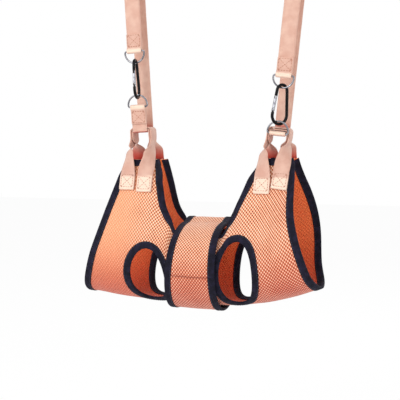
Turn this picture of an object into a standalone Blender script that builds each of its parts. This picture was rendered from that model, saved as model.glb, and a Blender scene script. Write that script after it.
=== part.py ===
# Pet grooming hammock: a spacer-mesh sling with four leg holes, a belly band that
# closes over the back, a webbing handle on each sail, and two hanging straps that
# close with snap hooks. Metres, +Z up. The tail opening is at -X, the head at +X.
# Origin: the line of the hanging bars, midway between the two straps.
#
# Cloth is laid out flat first, as it is cut. A flat point is (s, t): s runs along
# the pet's back, t round its girth from the middle of the belly, far side positive.
# drape() then hangs each flat piece round the body.

import bisect
import functools
import math

import bmesh
import bpy
from mathutils import Matrix, Vector

# Hanging
HANG_SPACING = 0.268
STRAP_DROP = 0.237
REAR_FOOT_X = -0.119
FRONT_FOOT_X = 0.109

# Cloth, tape and webbing
MESH_THICKNESS = 0.0024
TAPE_THICKNESS = 0.0008
TAPE_WIDTH = 0.0100
TAPE_SEAT = 0.0008
LAYER_GAP = 0.0005
PATCH_THICKNESS = 0.0012
BAND_GAP = 0.0026
PATCH_GAP = 0.0005
SEAM_GAP = 0.0003
WEBBING_WIDTH = 0.0250
WEBBING_THICKNESS = 0.0020
WEBBING_SIDE_GAP = 0.0004

# The draped body
BODY_HALF_WIDTH = 0.0650
BODY_HALF_HEIGHT = 0.0710
END_HALF_WIDTH = 0.0580
END_HALF_HEIGHT = 0.0620
BELLY_DROP = 0.5125
BELLY_LOW_X = 0.012
REAR_RISE = 0.014
FRONT_RISE = 0.035
APEX_HALF_GAP = 0.020
APEX_DROP = 0.285
REAR_HUG = (-0.053, -0.096)
FRONT_HUG = (0.029, 0.073)
HOLD_GIRTH = (0.158, 0.194)
HOLD_FADE = 0.080
HEAD_FLARE = 0.010
FLARE_X = (0.080, 0.140)
FLARE_GIRTH = (0.060, 0.255)

# The sling's cut pattern, one side, as (s, t)
REAR_EDGE = ((-0.142, 0.262), (-0.161, 0.198), (-0.177, 0.141), (-0.192, 0.087), (-0.206, 0.042), (-0.211, 0.0))
FRONT_EDGE = ((0.134, 0.255), (0.144, 0.200), (0.153, 0.140), (0.164, 0.072), (0.174, 0.030), (0.178, 0.0))
SIDE_EDGE = ((-0.084, 0.269), (-0.076, 0.230), (-0.068, 0.196), (-0.050, 0.172), (-0.020, 0.166),
             (0.014, 0.166), (0.032, 0.173), (0.049, 0.202), (0.064, 0.234), (0.077, 0.270))
REAR_HOLE = (-0.090, 0.075, 0.030, 0.050)
FRONT_HOLE = (0.054, 0.084, 0.027, 0.058)
FACET_ERROR = 0.00035
OUTLINE_ERROR = 0.0014
LONGEST_FACET = 0.060
TOP_TAPE_INSET = 0.013
GRID_CELLS = (0.0400, 0.0168)
FINE_CELL = 0.0125
SAIL_CELL = 0.0400
SAIL_GIRTH = 0.195

# The belly band
BAND_BELLY_WIDTH = 0.086
BAND_TOP_WIDTH = 0.073
BAND_BELLY_X = -0.022
BAND_TOP_X = -0.011
BAND_TAPER_GIRTH = 0.200
BAND_SEAM_GIRTH = 0.100
FAR_FLAP_END = 0.212
NEAR_FLAP_LAP = 0.060
FLAP_CORNER = 0.012
LAP_RAMP = 0.030
LAP_LEAD = 0.004
BAND_CELLS = (0.0190, 0.0125)
LAP_CELL = 0.0065
PATCH_LENGTH = 0.038
PATCH_WIDTH = 0.044

# Handles
REAR_HANDLE_X = -0.119
FRONT_HANDLE_X = 0.1035
HANDLE_PITCH = 0.0295
HANDLE_SEWN = 0.050
HANDLE_SIDE_GAP = 0.0006
HANDLE_PLAY = 0.0010
HANDLE_GAP = 0.0012
TWIST_STEPS = 16
TWIST_END = 0.84
HANDLE_BEND = 0.0025
HANDLE_STRAIGHT = 0.005
HANDLE_RISE = 0.006

# Strap folds
STRAP_TAIL = 0.027
FOLD_EASE = 0.008
STRAP_CORNER = 0.0022
REAR_LOWER_BAR = 0.039

# D-rings
RING_WIRE = 0.0028
RING_WIDTH = 0.0325
RING_HEIGHT = 0.0190
RING_CORNER = 0.0030

# Snap hooks
HOOK_WIRE = 0.0048
HOOK_LENGTH = 0.0650
HOOK_TOP_RADIUS = 0.0095
HOOK_FOOT_RADIUS = 0.01375
HOOK_PLAY = 0.0007
REAR_HOOK_TURN = 6.5
FRONT_HOOK_TURN = 40.0
NOSE_LENGTH = 0.0090
HINGE_HEIGHT = 0.0050
GATE_DIAMETER = 0.0046
TONGUE_THICKNESS = 0.0018
TONGUE_LENGTH = 0.0040
PIN_DIAMETER = 0.0016
SPRING_WIRE = 0.0004
SPRING_LENGTH = 0.0110
SPRING_TURNS = 6
HOOK_CLEAR = 0.0003
PIN_CLEAR = 0.00015

# Worked out from the sizes above
TAPE_HALF = MESH_THICKNESS / 2 + TAPE_SEAT + TAPE_THICKNESS
BAND_OFFSET = 2 * TAPE_HALF + BAND_GAP
LAP_STEP = max(MESH_THICKNESS + 2 * PATCH_THICKNESS + 3 * PATCH_GAP, BAND_OFFSET + SEAM_GAP)
LOOP_GAP = WEBBING_WIDTH + 2 * WEBBING_SIDE_GAP
RUN_Y = LOOP_GAP / 2 + WEBBING_THICKNESS / 2
LAYER = WEBBING_THICKNESS + SEAM_GAP
FOLD_RADIUS = RING_WIRE / 2 + SEAM_GAP + WEBBING_THICKNESS / 2
CHAIN_Y = -RUN_Y - FOLD_RADIUS
HOOK_REACH = HOOK_LENGTH - HOOK_WIRE
RING_GRIP = (HOOK_WIRE + RING_WIRE) / 2 + HOOK_PLAY
HANDLE_HEIGHT = TAPE_HALF + LAYER_GAP + WEBBING_THICKNESS / 2
HANDLE_REST = HANDLE_PLAY + WEBBING_THICKNESS / 2
HANDLE_SPREAD = WEBBING_WIDTH / 2 + HANDLE_SIDE_GAP + WEBBING_THICKNESS / 2

NUDGE = 0.0002
DENSE = 24

ORANGE = (0.87, 0.36, 0.17, 1.0)
NAVY = (0.017, 0.017, 0.032, 1.0)
PEACH = (0.84, 0.52, 0.38, 1.0)
STEEL = (0.62, 0.62, 0.63, 1.0)
BLACK = (0.012, 0.012, 0.012, 1.0)

for old in list(bpy.data.objects):
    bpy.data.objects.remove(old, do_unlink=True)

hammock = bpy.data.collections.new("pet_grooming_hammock")
cutters = bpy.data.collections.new("cutters")
bpy.context.scene.collection.children.link(hammock)
bpy.context.scene.collection.children.link(cutters)


def mix(a, b, u):
    return a + (b - a) * u


def smooth(u):
    # eases from 0 to 1, level at both ends
    u = min(max(u, 0.0), 1.0)
    return u * u * (3.0 - 2.0 * u)


def finish(name, colour, roughness, metallic):
    mat = bpy.data.materials.new(name)
    mat.use_nodes = True
    shader = mat.node_tree.nodes["Principled BSDF"]
    shader.inputs["Base Color"].default_value = colour
    shader.inputs["Roughness"].default_value = roughness
    shader.inputs["Metallic"].default_value = metallic
    return mat


def add_object(name, mesh, colour, roughness=0.9, metallic=0.0, collection=None):
    obj = bpy.data.objects.new(name, mesh)
    (collection or hammock).objects.link(obj)
    mesh.materials.append(finish(name, colour, roughness, metallic))
    return obj


def evaluated_mesh(obj):
    # the object's mesh with its modifiers applied; the object itself is removed
    bpy.context.view_layer.update()
    graph = bpy.context.evaluated_depsgraph_get()
    mesh = bpy.data.meshes.new_from_object(obj.evaluated_get(graph))
    bpy.data.objects.remove(obj, do_unlink=True)
    return mesh


def hide_cutter(obj):
    obj.hide_render = True
    obj.display_type = "WIRE"
    return obj


def add_cut(obj, cutter, operation="DIFFERENCE"):
    cut = obj.modifiers.new(cutter.name, "BOOLEAN")
    cut.operation = operation
    cut.object = cutter
    return cut


# The body that the cloth hangs round


def section(s, grow):
    # half width, half height and centre height of the body's oval section at s
    if s > BELLY_LOW_X:
        end = (s - BELLY_LOW_X) / (FRONT_EDGE[-1][0] - BELLY_LOW_X)
        rise = FRONT_RISE
    else:
        end = (BELLY_LOW_X - s) / (BELLY_LOW_X - REAR_EDGE[-1][0])
        rise = REAR_RISE
    share = end * end
    half_width = mix(BODY_HALF_WIDTH, END_HALF_WIDTH, share)
    half_height = mix(BODY_HALF_HEIGHT, END_HALF_HEIGHT, share)
    centre = -BELLY_DROP + rise * share + half_height
    return half_width + grow, half_height + grow, centre


def leave_angle(s):
    # the angle at which the cloth leaves the body and runs straight up to its apex
    half_width, half_height, centre = section(s, 0.0)
    across = APEX_HALF_GAP / half_width
    above = (-APEX_DROP - centre) / half_height
    return math.atan2(above, across) - math.acos(1.0 / math.hypot(across, above))


@functools.lru_cache(maxsize=None)
def girth_table(s, grow):
    # length round the section from the belly, at every 2 degrees
    half_width, half_height, centre = section(s, grow)
    lengths = [0.0]
    y, z = 0.0, -half_height
    for k in range(1, 181):
        angle = math.radians(2 * k - 90)
        next_y = half_width * math.cos(angle)
        next_z = half_height * math.sin(angle)
        lengths.append(lengths[-1] + math.hypot(next_y - y, next_z - z))
        y, z = next_y, next_z
    return lengths


def flare(s, t):
    # the near head edge is drawn in and the far one stands out
    along = smooth((s - FLARE_X[0]) / (FLARE_X[1] - FLARE_X[0]))
    share = (abs(t) - FLARE_GIRTH[0]) / (FLARE_GIRTH[1] - FLARE_GIRTH[0])
    bulge = math.sin(math.pi * min(max(share, 0.0), 1.0)) ** 2
    return math.copysign(HEAD_FLARE * along * bulge, t)


def on_body(s, girth, grow):
    # y and z of a point lying on the oval section
    half_width, half_height, centre = section(s, grow)
    lengths = girth_table(s, grow)
    index = min(bisect.bisect_right(lengths, girth), 180)
    part = (girth - lengths[index - 1]) / (lengths[index] - lengths[index - 1])
    angle = math.radians(2 * (index - 1 + part) - 90)
    return Vector((half_width * math.cos(angle), centre + half_height * math.sin(angle)))


def on_sail(s, girth):
    # y and z of a point on the straight rise, and the girth at which it starts
    half_width, half_height, centre = section(s, 0.0)
    lengths = girth_table(s, 0.0)
    leave = leave_angle(s)
    steps = (math.degrees(leave) + 90) / 2
    below = int(steps)
    left_at = mix(lengths[below], lengths[below + 1], steps - below)
    foot = Vector((half_width * math.cos(leave), centre + half_height * math.sin(leave)))
    slope = Vector((-half_width * math.sin(leave), half_height * math.cos(leave))).normalized()
    return foot + slope * (girth - left_at), left_at


def hold(s):
    # how far the band holds the cloth in against the body: 1 under it, 0 on the sails
    start, stop = FRONT_HUG if s > BAND_TOP_X else REAR_HUG
    return 1.0 - smooth((s - start) / (stop - start))


def cloth_point(s, t, ring):
    # where the flat point (s, t) lies once draped; a ring closes over the back
    girth = abs(t)
    if ring:
        place = on_body(s, girth, BAND_OFFSET)
        return Vector((s, math.copysign(1.0, t) * place.x, place.y))
    place, left_at = on_sail(s, girth)
    if girth <= left_at:
        place = on_body(s, girth, 0.0)
    else:
        ease = min(max((girth - HOLD_GIRTH[0]) / (HOLD_GIRTH[1] - HOLD_GIRTH[0]), 0.0), 1.0)
        held_at = min(girth, HOLD_GIRTH[0]) + (HOLD_GIRTH[1] - HOLD_GIRTH[0]) * (ease - ease * ease / 2)
        fade = 1.0 - smooth((girth - HOLD_GIRTH[1]) / HOLD_FADE)
        place = place - (on_sail(s, held_at)[0] - on_body(s, held_at, 0.0)) * hold(s) * fade
    s = s + flare(s, t)
    return Vector((s, math.copysign(1.0, t) * place.x, place.y))


def drape(s, t, lift=0.0, ring=False):
    # the draped point, raised off the cloth's middle surface by lift, outwards positive
    here = cloth_point(s, t, ring)
    along = cloth_point(s + NUDGE, t, ring) - here
    across = cloth_point(s, t + NUDGE, ring) - here
    if t < 0 <= t + NUDGE:
        across = here - cloth_point(s, t - NUDGE, ring)
    return here + across.cross(along).normalized() * lift


def split_faces(mesh):
    # triangles bend cleanly where wider faces would not stay flat
    bm = bmesh.new()
    bm.from_mesh(mesh)
    bmesh.ops.triangulate(bm, faces=bm.faces)
    bm.to_mesh(mesh)
    bm.free()


def drape_object(obj, ring=False, lift=None):
    # bends a flat object, x along and y round the girth, into its draped form
    mesh = obj.data
    split_faces(mesh)
    for vertex in mesh.vertices:
        s, t, height = vertex.co
        raised = height + (lift(t) if lift else 0.0)
        vertex.co = drape(s, t, raised, ring)
    mesh.flip_normals()
    mesh.shade_smooth()
    mesh.set_sharp_from_angle(angle=math.radians(40))


# Flat cutting


def curve_through(points):
    # a smooth path through the points, finely divided
    fine = []
    last = len(points) - 1
    for i in range(last):
        p1 = Vector(points[i])
        p2 = Vector(points[i + 1])
        p0 = Vector(points[i - 1]) if i > 0 else 2 * p1 - p2
        p3 = Vector(points[i + 2]) if i + 1 < last else 2 * p2 - p1
        for k in range(DENSE):
            u = k / DENSE
            bend = (2 * p1 + (p2 - p0) * u + (2 * p0 - 5 * p1 + 4 * p2 - p3) * u * u
                    + (3 * p1 - 3 * p2 + p3 - p0) * u ** 3)
            fine.append(bend / 2)
    fine.append(Vector(points[-1]))
    return fine


def chord_error(start, stop, ring, lift):
    # how far a straight draped chord leaves the cloth, at its edge and under the tape's lip
    along = (stop - start).normalized()
    side = Vector((-along.y, along.x)) * TAPE_WIDTH
    worst = 0.0
    for offset in (Vector((0, 0)), side, -side):
        ends = [drape(p.x, p.y, lift(p.y) if lift else 0.0, ring) for p in (start + offset, stop + offset)]
        middle = (start + stop) / 2 + offset
        half_way = drape(middle.x, middle.y, lift(middle.y) if lift else 0.0, ring)
        worst = max(worst, (half_way - (ends[0] + ends[1]) / 2).length)
    return worst


def stations(fine, ring=False, lift=None, error=FACET_ERROR):
    # points along the path, as far apart as the facets stay close to the true shape
    kept = [0]
    while kept[-1] < len(fine) - 1:
        start = kept[-1]
        stop = start + 1
        while stop < len(fine) - 1:
            reach = stop + 1
            middle = (start + reach) // 2
            chord = fine[reach] - fine[start]
            away = fine[middle] - fine[start]
            bow = abs(chord.x * away.y - chord.y * away.x) / chord.length
            if chord.length > LONGEST_FACET or bow > OUTLINE_ERROR:
                break
            if chord_error(fine[start], fine[reach], ring, lift) > error:
                break
            stop = reach
        kept.append(stop)
    return [fine[i] for i in kept]


def mirrored(points):
    return [Vector((p.x, -p.y)) for p in reversed(points)]


def end_path(edge):
    # an end opening's edge, from the near sail under the belly to the far sail
    far = stations(curve_through(tuple(reversed(edge))))
    return mirrored(far)[:-1] + far


def oval(hole, side):
    s, t, half_s, half_t = hole
    points = []
    for k in range(4 * DENSE + 1):
        angle = 2 * math.pi * k / (4 * DENSE)
        points.append(Vector((s + half_s * math.cos(angle), t + half_t * math.sin(angle))))
    kept = stations(points)[:-1]
    return [Vector((p.x, side * p.y)) for p in kept]


def prism(name, outline, half_depth):
    # a flat outline given a thickness, as a cutter
    curve = bpy.data.curves.new(name, "CURVE")
    curve.dimensions = "2D"
    curve.fill_mode = "BOTH"
    curve.extrude = half_depth
    spline = curve.splines.new("POLY")
    spline.points.add(len(outline) - 1)
    for point, place in zip(spline.points, outline):
        point.co = (place[0], place[1], 0.0, 1.0)
    spline.use_cyclic_u = True
    source = bpy.data.objects.new(name + "_curve", curve)
    cutters.objects.link(source)
    mesh = evaluated_mesh(source)
    bm = bmesh.new()
    bm.from_mesh(mesh)
    bmesh.ops.remove_doubles(bm, verts=bm.verts, dist=1e-6)
    bmesh.ops.recalc_face_normals(bm, faces=bm.faces)
    bm.to_mesh(mesh)
    bm.free()
    cutter = bpy.data.objects.new(name, mesh)
    cutters.objects.link(cutter)
    return hide_cutter(cutter)


def grid_lines(marks):
    # line places from (place, cell size beyond it) marks; the last mark ends the row
    lines = []
    for (start, cell), (stop, unused) in zip(marks, marks[1:]):
        count = max(1, round((stop - start) / cell))
        lines += [mix(start, stop, k / count) for k in range(count)]
    return lines + [marks[-1][0]]


def grid_mesh(name, columns, rows):
    bm = bmesh.new()
    bmesh.ops.create_grid(bm, x_segments=len(columns) - 1, y_segments=len(rows) - 1, size=0.5)
    for vertex in bm.verts:
        column = round((vertex.co.x + 0.5) * (len(columns) - 1))
        row = round((vertex.co.y + 0.5) * (len(rows) - 1))
        vertex.co = (columns[column], rows[row], 0)
    mesh = bpy.data.meshes.new(name)
    bm.to_mesh(mesh)
    bm.free()
    return mesh


def even_grid(outline, cells):
    # marks for evenly spaced lines that reach past the outline
    marks = []
    for axis in range(2):
        low = min(p[axis] for p in outline) - cells[axis] / 3
        high = max(p[axis] for p in outline) + cells[axis] / 3
        marks.append([(low, cells[axis]), (high, cells[axis])])
    return marks


def cut_cloth(name, outline, holes, thickness, colour, marks):
    # a gridded slab of cloth, cut flat to its outline and holes
    mesh = grid_mesh(name, grid_lines(marks[0]), grid_lines(marks[1]))
    slab = bpy.data.objects.new(name + "_slab", mesh)
    cutters.objects.link(slab)
    thicken = slab.modifiers.new("thickness", "SOLIDIFY")
    thicken.thickness = thickness
    thicken.offset = 0.0
    tools = [prism(name + "_outline", outline, 2 * thickness)]
    add_cut(slab, tools[0], "INTERSECT")
    for number, hole in enumerate(holes):
        tools.append(prism(name + "_hole_" + str(number + 1), hole, 3 * thickness))
        add_cut(slab, tools[-1])
    cloth = evaluated_mesh(slab)
    for tool in tools:
        bpy.data.objects.remove(tool, do_unlink=True)
    return add_object(name, cloth, colour)


def tape_profile():
    # the folded tape's section: inwards from the cloth's edge, and off its middle
    out = -TAPE_SEAT - TAPE_THICKNESS
    lip = out + TAPE_WIDTH
    inner = TAPE_HALF - TAPE_THICKNESS
    return [(out, TAPE_HALF), (lip, TAPE_HALF), (lip, inner), (-TAPE_SEAT, inner),
            (-TAPE_SEAT, -inner), (lip, -inner), (lip, -TAPE_HALF), (out, -TAPE_HALF)]


def loft(name, rings, closed, colour, roughness=0.9, metallic=0.0):
    # joins equal rings of points into one skin, capped at both ends unless it closes
    bm = bmesh.new()
    skin = [[bm.verts.new(point) for point in ring] for ring in rings]
    count = len(skin[0])
    pairs = list(zip(skin, skin[1:]))
    if closed:
        pairs.append((skin[-1], skin[0]))
    for first, second in pairs:
        for k in range(count):
            n = (k + 1) % count
            bm.faces.new((first[k], first[n], second[n], second[k]))
    if not closed:
        bm.faces.new(list(reversed(skin[0])))
        bm.faces.new(skin[-1])
    bmesh.ops.recalc_face_normals(bm, faces=bm.faces)
    mesh = bpy.data.meshes.new(name)
    bm.to_mesh(mesh)
    bm.free()
    split_faces(mesh)
    mesh.shade_smooth()
    mesh.set_sharp_from_angle(angle=math.radians(40))
    return add_object(name, mesh, colour, roughness, metallic)


def edge_tape(name, path, inwards, closed=False, ring=False, lift=None):
    # tape folded over a cloth edge; inwards is +1 where the cloth lies left of the path
    rings = []
    count = len(path)
    for i in range(count):
        before = path[i - 1] if closed or i > 0 else path[i]
        after = path[(i + 1) % count] if closed or i + 1 < count else path[i]
        heading = (after - before).normalized()
        inward = Vector((-heading.y, heading.x)) * inwards
        section_points = []
        for reach, height in tape_profile():
            flat = path[i] + inward * reach
            raised = height + (lift(flat.y) if lift else 0.0)
            section_points.append(drape(flat.x, flat.y, raised, ring))
        rings.append(section_points)
    return loft(name, rings, closed, NAVY, 0.8)


# The sling


def make_sling():
    rear = end_path(REAR_EDGE)
    front = end_path(FRONT_EDGE)
    far_side = stations(curve_through(SIDE_EDGE), error=FACET_ERROR / 3)
    near_side = mirrored(far_side)
    outline = rear + far_side + list(reversed(front)) + near_side
    holes = {}
    for end, hole in (("rear", REAR_HOLE), ("front", FRONT_HOLE)):
        for side_name, side in (("near", -1), ("far", 1)):
            holes[end + "_" + side_name] = oval(hole, side)
    margin = GRID_CELLS[0] / 4
    columns = [(REAR_EDGE[-1][0] - margin, GRID_CELLS[0]), (REAR_HUG[1], FINE_CELL), (REAR_HUG[0], GRID_CELLS[0]),
               (FRONT_HUG[0], FINE_CELL), (FRONT_HUG[1], GRID_CELLS[0]), (FRONT_EDGE[-1][0] + margin, 0)]
    top = max(point.y for point in outline) + margin
    rows = [(-top, SAIL_CELL), (-SAIL_GIRTH, GRID_CELLS[1]), (SAIL_GIRTH, SAIL_CELL), (top, 0)]
    sling = cut_cloth("sling_mesh", outline, list(holes.values()), MESH_THICKNESS, ORANGE, (columns, rows))
    drape_object(sling)
    edge_tape("rear_end_tape", rear, -1)
    edge_tape("front_end_tape", front, 1)
    edge_tape("far_side_tape", far_side, -1)
    edge_tape("near_side_tape", near_side, -1)
    for name, path in holes.items():
        edge_tape(name + "_leg_tape", path, -1 if name.endswith("far") else 1, closed=True)
    for end, outer, inner in (("rear", rear[-1], far_side[0]), ("front", far_side[-1], front[-1])):
        make_top_tape(end + "_far_top_tape", outer, inner, 1)
        make_top_tape(end + "_near_top_tape", outer, inner, -1)


def make_top_tape(name, outer, inner, side):
    along = (inner - outer).normalized()
    first = outer + along * TOP_TAPE_INSET
    last = inner - along * TOP_TAPE_INSET
    path = [first.lerp(last, k / 3) for k in range(4)]
    if side < 0:
        path = [Vector((p.x, -p.y)) for p in path]
    edge_tape(name, path, -side)


# The belly band


def band_edges(girth):
    # the band's rear and front edges at a girth
    share = smooth(girth / BAND_TAPER_GIRTH)
    half = mix(BAND_BELLY_WIDTH, BAND_TOP_WIDTH, share) / 2
    middle = mix(BAND_BELLY_X, BAND_TOP_X, share)
    return middle - half, middle + half


def band_girth():
    return girth_table(BAND_TOP_X, BAND_OFFSET)[-1]


def lap_lift(t):
    # the near flap steps out over the far flap's end
    ramp_end = band_girth() - FAR_FLAP_END - TAPE_SEAT - TAPE_THICKNESS - LAP_LEAD
    return LAP_STEP * smooth((-t - ramp_end + LAP_RAMP) / LAP_RAMP)


def spaced(start, stop, step):
    count = max(2, math.ceil(abs(stop - start) / step))
    return [mix(start, stop, k / count) for k in range(count + 1)]


def flap_path(start, stop, side, step):
    # round a flap's edge: out along the rear, round the end, back along the front
    rear = []
    front = []
    for girth in spaced(start, stop - FLAP_CORNER, step):
        low, high = band_edges(girth)
        rear.append(Vector((low, side * girth)))
        front.append(Vector((high, side * girth)))
    low, high = band_edges(stop)
    corner = []
    for k in range(1, 5):
        angle = math.radians(90 * k / 4)
        inset = FLAP_CORNER * (1 - math.sin(angle))
        reach = stop - FLAP_CORNER * (1 - math.sin(angle))
        corner.append((FLAP_CORNER * (1 - math.cos(angle)), reach, inset))
    rear += [Vector((low + along, side * reach)) for along, reach, inset in corner]
    rear += [Vector((mix(low, high, 0.5), side * stop))]
    back = [Vector((high - along, side * reach)) for along, reach, inset in reversed(corner)]
    return rear + back + list(reversed(front))


def make_band():
    seam = BAND_SEAM_GIRTH
    near_end = band_girth() - FAR_FLAP_END + NEAR_FLAP_LAP
    near = flap_path(seam + SEAM_GAP, near_end, -1, 0.75 * BAND_CELLS[1])
    far = flap_path(seam + SEAM_GAP, FAR_FLAP_END, 1, BAND_CELLS[1])
    near_marks = even_grid(near, BAND_CELLS)
    ramp_end = band_girth() - FAR_FLAP_END
    near_marks[1] = [(near_marks[1][0][0], BAND_CELLS[1]), (-ramp_end, LAP_CELL),
                     (-ramp_end + 1.3 * LAP_RAMP, BAND_CELLS[1]), near_marks[1][1]]
    near_flap = cut_cloth("band_near_flap", near, [], MESH_THICKNESS, ORANGE, near_marks)
    drape_object(near_flap, ring=True, lift=lap_lift)
    far_flap = cut_cloth("band_far_flap", far, [], MESH_THICKNESS, ORANGE, even_grid(far, BAND_CELLS))
    drape_object(far_flap, ring=True)
    edge_tape("band_near_flap_tape", near, 1, ring=True, lift=lap_lift)
    edge_tape("band_far_flap_tape", far, -1, ring=True)
    girths = spaced(-seam, seam, BAND_CELLS[1])
    rear = [Vector((band_edges(abs(t))[0], t)) for t in girths]
    front = [Vector((band_edges(abs(t))[1], t)) for t in girths]
    belly_outline = rear + list(reversed(front))
    belly_marks = even_grid(belly_outline, BAND_CELLS)
    belly = cut_cloth("band_belly_panel", belly_outline, [], MESH_THICKNESS, ORANGE, belly_marks)
    drape_object(belly, ring=True)
    edge_tape("band_belly_rear_tape", rear, -1, ring=True)
    edge_tape("band_belly_front_tape", front, 1, ring=True)
    make_patches()


def make_patches():
    middle = FAR_FLAP_END - NEAR_FLAP_LAP / 2
    low, high = band_edges(middle)
    centre = (low + high) / 2
    corners = []
    for along, round_girth in ((-1, -1), (1, -1), (1, 1), (-1, 1)):
        corners.append((centre + along * PATCH_WIDTH / 2, middle + round_girth * PATCH_LENGTH / 2))
    rise = MESH_THICKNESS / 2 + PATCH_GAP + PATCH_THICKNESS / 2
    marks = even_grid(corners, BAND_CELLS)
    loop = cut_cloth("loop_patch", corners, [], PATCH_THICKNESS, NAVY, marks)
    drape_object(loop, ring=True, lift=lambda t: rise)
    hook = cut_cloth("hook_patch", corners, [], PATCH_THICKNESS, NAVY, marks)
    drape_object(hook, ring=True, lift=lambda t: LAP_STEP - rise)


# Hanging straps, with their own upright frames


def strap_frame(foot_x, top_x):
    # x along the webbing's width, z up the leaning strap, origin in the loop's foot
    foot = Vector((foot_x, 0, -STRAP_DROP))
    up = (Vector((top_x, 0, 0)) - foot).normalized()
    across = Vector((up.z, 0, -up.x))
    frame = Matrix((across, (0, 1, 0), up)).transposed().to_4x4()
    frame.translation = foot
    return frame


def strap_height(foot_x, top_x):
    return math.hypot(top_x - foot_x, STRAP_DROP)


def arc(centre, radius, start, stop, steps):
    # points on an arc in the strap's y-z plane, angles in degrees from +y to +z
    points = []
    for k in range(steps + 1):
        angle = math.radians(mix(start, stop, k / steps))
        points.append(Vector((centre[0] + radius * math.cos(angle), centre[1] + radius * math.sin(angle))))
    return points


def fold(bar, along, side):
    # webbing folded round a ring's bar, from the sewn tail's end to the main run
    tail = FOLD_RADIUS - LAYER
    points = [bar + along * STRAP_TAIL + side * tail]
    points.append(bar + along * FOLD_EASE + side * tail)
    for k in range(1, 4):
        u = k / 4
        points.append(bar + along * FOLD_EASE * (1 - u) + side * mix(tail, -FOLD_RADIUS, smooth(u)))
    for k in range(9):
        angle = math.pi * k / 8
        points.append(bar - side * FOLD_RADIUS * math.cos(angle) - along * FOLD_RADIUS * math.sin(angle))
    return points


def strap_path(height, lower_bar, lower_along, lower_side, upper_bar):
    # the strap's middle line: lower ring, under the handles, up the back, over the
    # bar, and down the front to the upper ring
    half = WEBBING_THICKNESS / 2
    corner_y = RUN_Y - STRAP_CORNER
    corner_z = STRAP_CORNER - half
    path = fold(lower_bar, lower_along, lower_side)
    if lower_along.y < 0:
        path += arc((-corner_y, corner_z), STRAP_CORNER, 180, 270, 4)
    path += arc((corner_y, corner_z), STRAP_CORNER, -90, 0, 4)
    path += arc((0.0, height + half - RUN_Y), RUN_Y, 0, 180, 15)
    down = Vector((0, 1))
    path += list(reversed(fold(upper_bar, down, Vector((1, 0)))))
    return path


def ribbon(name, path, frame):
    # a strip of webbing, its width across the strap's plane
    bm = bmesh.new()
    verts = [bm.verts.new((-WEBBING_WIDTH / 2, point.x, point.y)) for point in path]
    edges = [bm.edges.new(pair) for pair in zip(verts, verts[1:])]
    wide = bmesh.ops.extrude_edge_only(bm, edges=edges)
    moved = [item for item in wide["geom"] if isinstance(item, bmesh.types.BMVert)]
    bmesh.ops.translate(bm, verts=moved, vec=(WEBBING_WIDTH, 0, 0))
    bmesh.ops.recalc_face_normals(bm, faces=bm.faces)
    mesh = bpy.data.meshes.new(name)
    bm.to_mesh(mesh)
    bm.free()
    mesh.shade_smooth()
    mesh.set_sharp_from_angle(angle=math.radians(40))
    obj = add_object(name, mesh, PEACH, 0.85)
    obj.matrix_world = frame
    thicken = obj.modifiers.new("thickness", "SOLIDIFY")
    thicken.thickness = WEBBING_THICKNESS
    thicken.offset = 0.0
    thicken.use_even_offset = True
    return obj


def round_wire(name, points, diameter, colour, frame, cyclic, resolution=2):
    # a wire along a path in the x-z plane of its frame
    curve = bpy.data.curves.new(name, "CURVE")
    curve.dimensions = "3D"
    curve.bevel_depth = diameter / 2
    curve.bevel_resolution = resolution
    curve.use_fill_caps = True
    spline = curve.splines.new("POLY")
    spline.points.add(len(points) - 1)
    for point, place in zip(spline.points, points):
        point.co = (place[0], place[1], place[2], 1.0)
    spline.use_cyclic_u = cyclic
    source = bpy.data.objects.new(name + "_curve", curve)
    cutters.objects.link(source)
    mesh = evaluated_mesh(source)
    bm = bmesh.new()
    bm.from_mesh(mesh)
    bmesh.ops.remove_doubles(bm, verts=bm.verts, dist=1e-6)
    bmesh.ops.recalc_face_normals(bm, faces=bm.faces)
    bm.to_mesh(mesh)
    bm.free()
    mesh.shade_smooth()
    mesh.set_sharp_from_angle(angle=math.radians(50))
    obj = add_object(name, mesh, colour, 0.35, 1.0)
    obj.matrix_world = frame
    return obj


def make_ring(name, frame, bar, way):
    # a D-ring whose bar lies on its frame's x axis; way is +1 where the bow points up
    half = RING_WIDTH / 2
    corner = []
    for k in range(1, 4):
        angle = math.radians(30 * k - 90)
        x = half - RING_CORNER + RING_CORNER * math.cos(angle)
        corner.append((x, RING_CORNER + RING_CORNER * math.sin(angle)))
    right = [(half - RING_CORNER, 0.0)] + corner
    for k in range(1, 7):
        angle = math.radians(15 * k)
        right.append((half * math.cos(angle), RING_CORNER + (RING_HEIGHT - RING_CORNER) * math.sin(angle)))
    left = [(-x, z) for x, z in reversed(right[:-1])]
    points = [(x, 0.0, z * way) for x, z in right + left]
    place = frame @ Matrix.Translation((0.0, bar.x, bar.y))
    return round_wire(name, points, RING_WIRE, STEEL, place, True)


# Snap hooks. Their own frame has x from the gate to the spine, z up, origin at the
# middle of the foot's bend.


def hook_taper():
    reach = HOOK_REACH - HOOK_TOP_RADIUS - HOOK_FOOT_RADIUS
    return reach, math.asin((HOOK_FOOT_RADIUS - HOOK_TOP_RADIUS) / reach)


def gate_line():
    # the gate side's straight: its foot, its direction up and its length
    reach, taper = hook_taper()
    foot = Vector((-HOOK_FOOT_RADIUS * math.cos(taper), 0, HOOK_FOOT_RADIUS * math.sin(taper)))
    up = Vector((math.sin(taper), 0, math.cos(taper)))
    return foot, up, reach * math.cos(taper)


def gate_frame(frame):
    # origin on the gate's hinge, z along the gate
    foot, up, length = gate_line()
    turn = Matrix.Rotation(hook_taper()[1], 4, "Y")
    return frame @ Matrix.Translation(foot + up * HINGE_HEIGHT) @ turn


def gate_length():
    return gate_line()[2] - HINGE_HEIGHT - NOSE_LENGTH - HOOK_CLEAR


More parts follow.
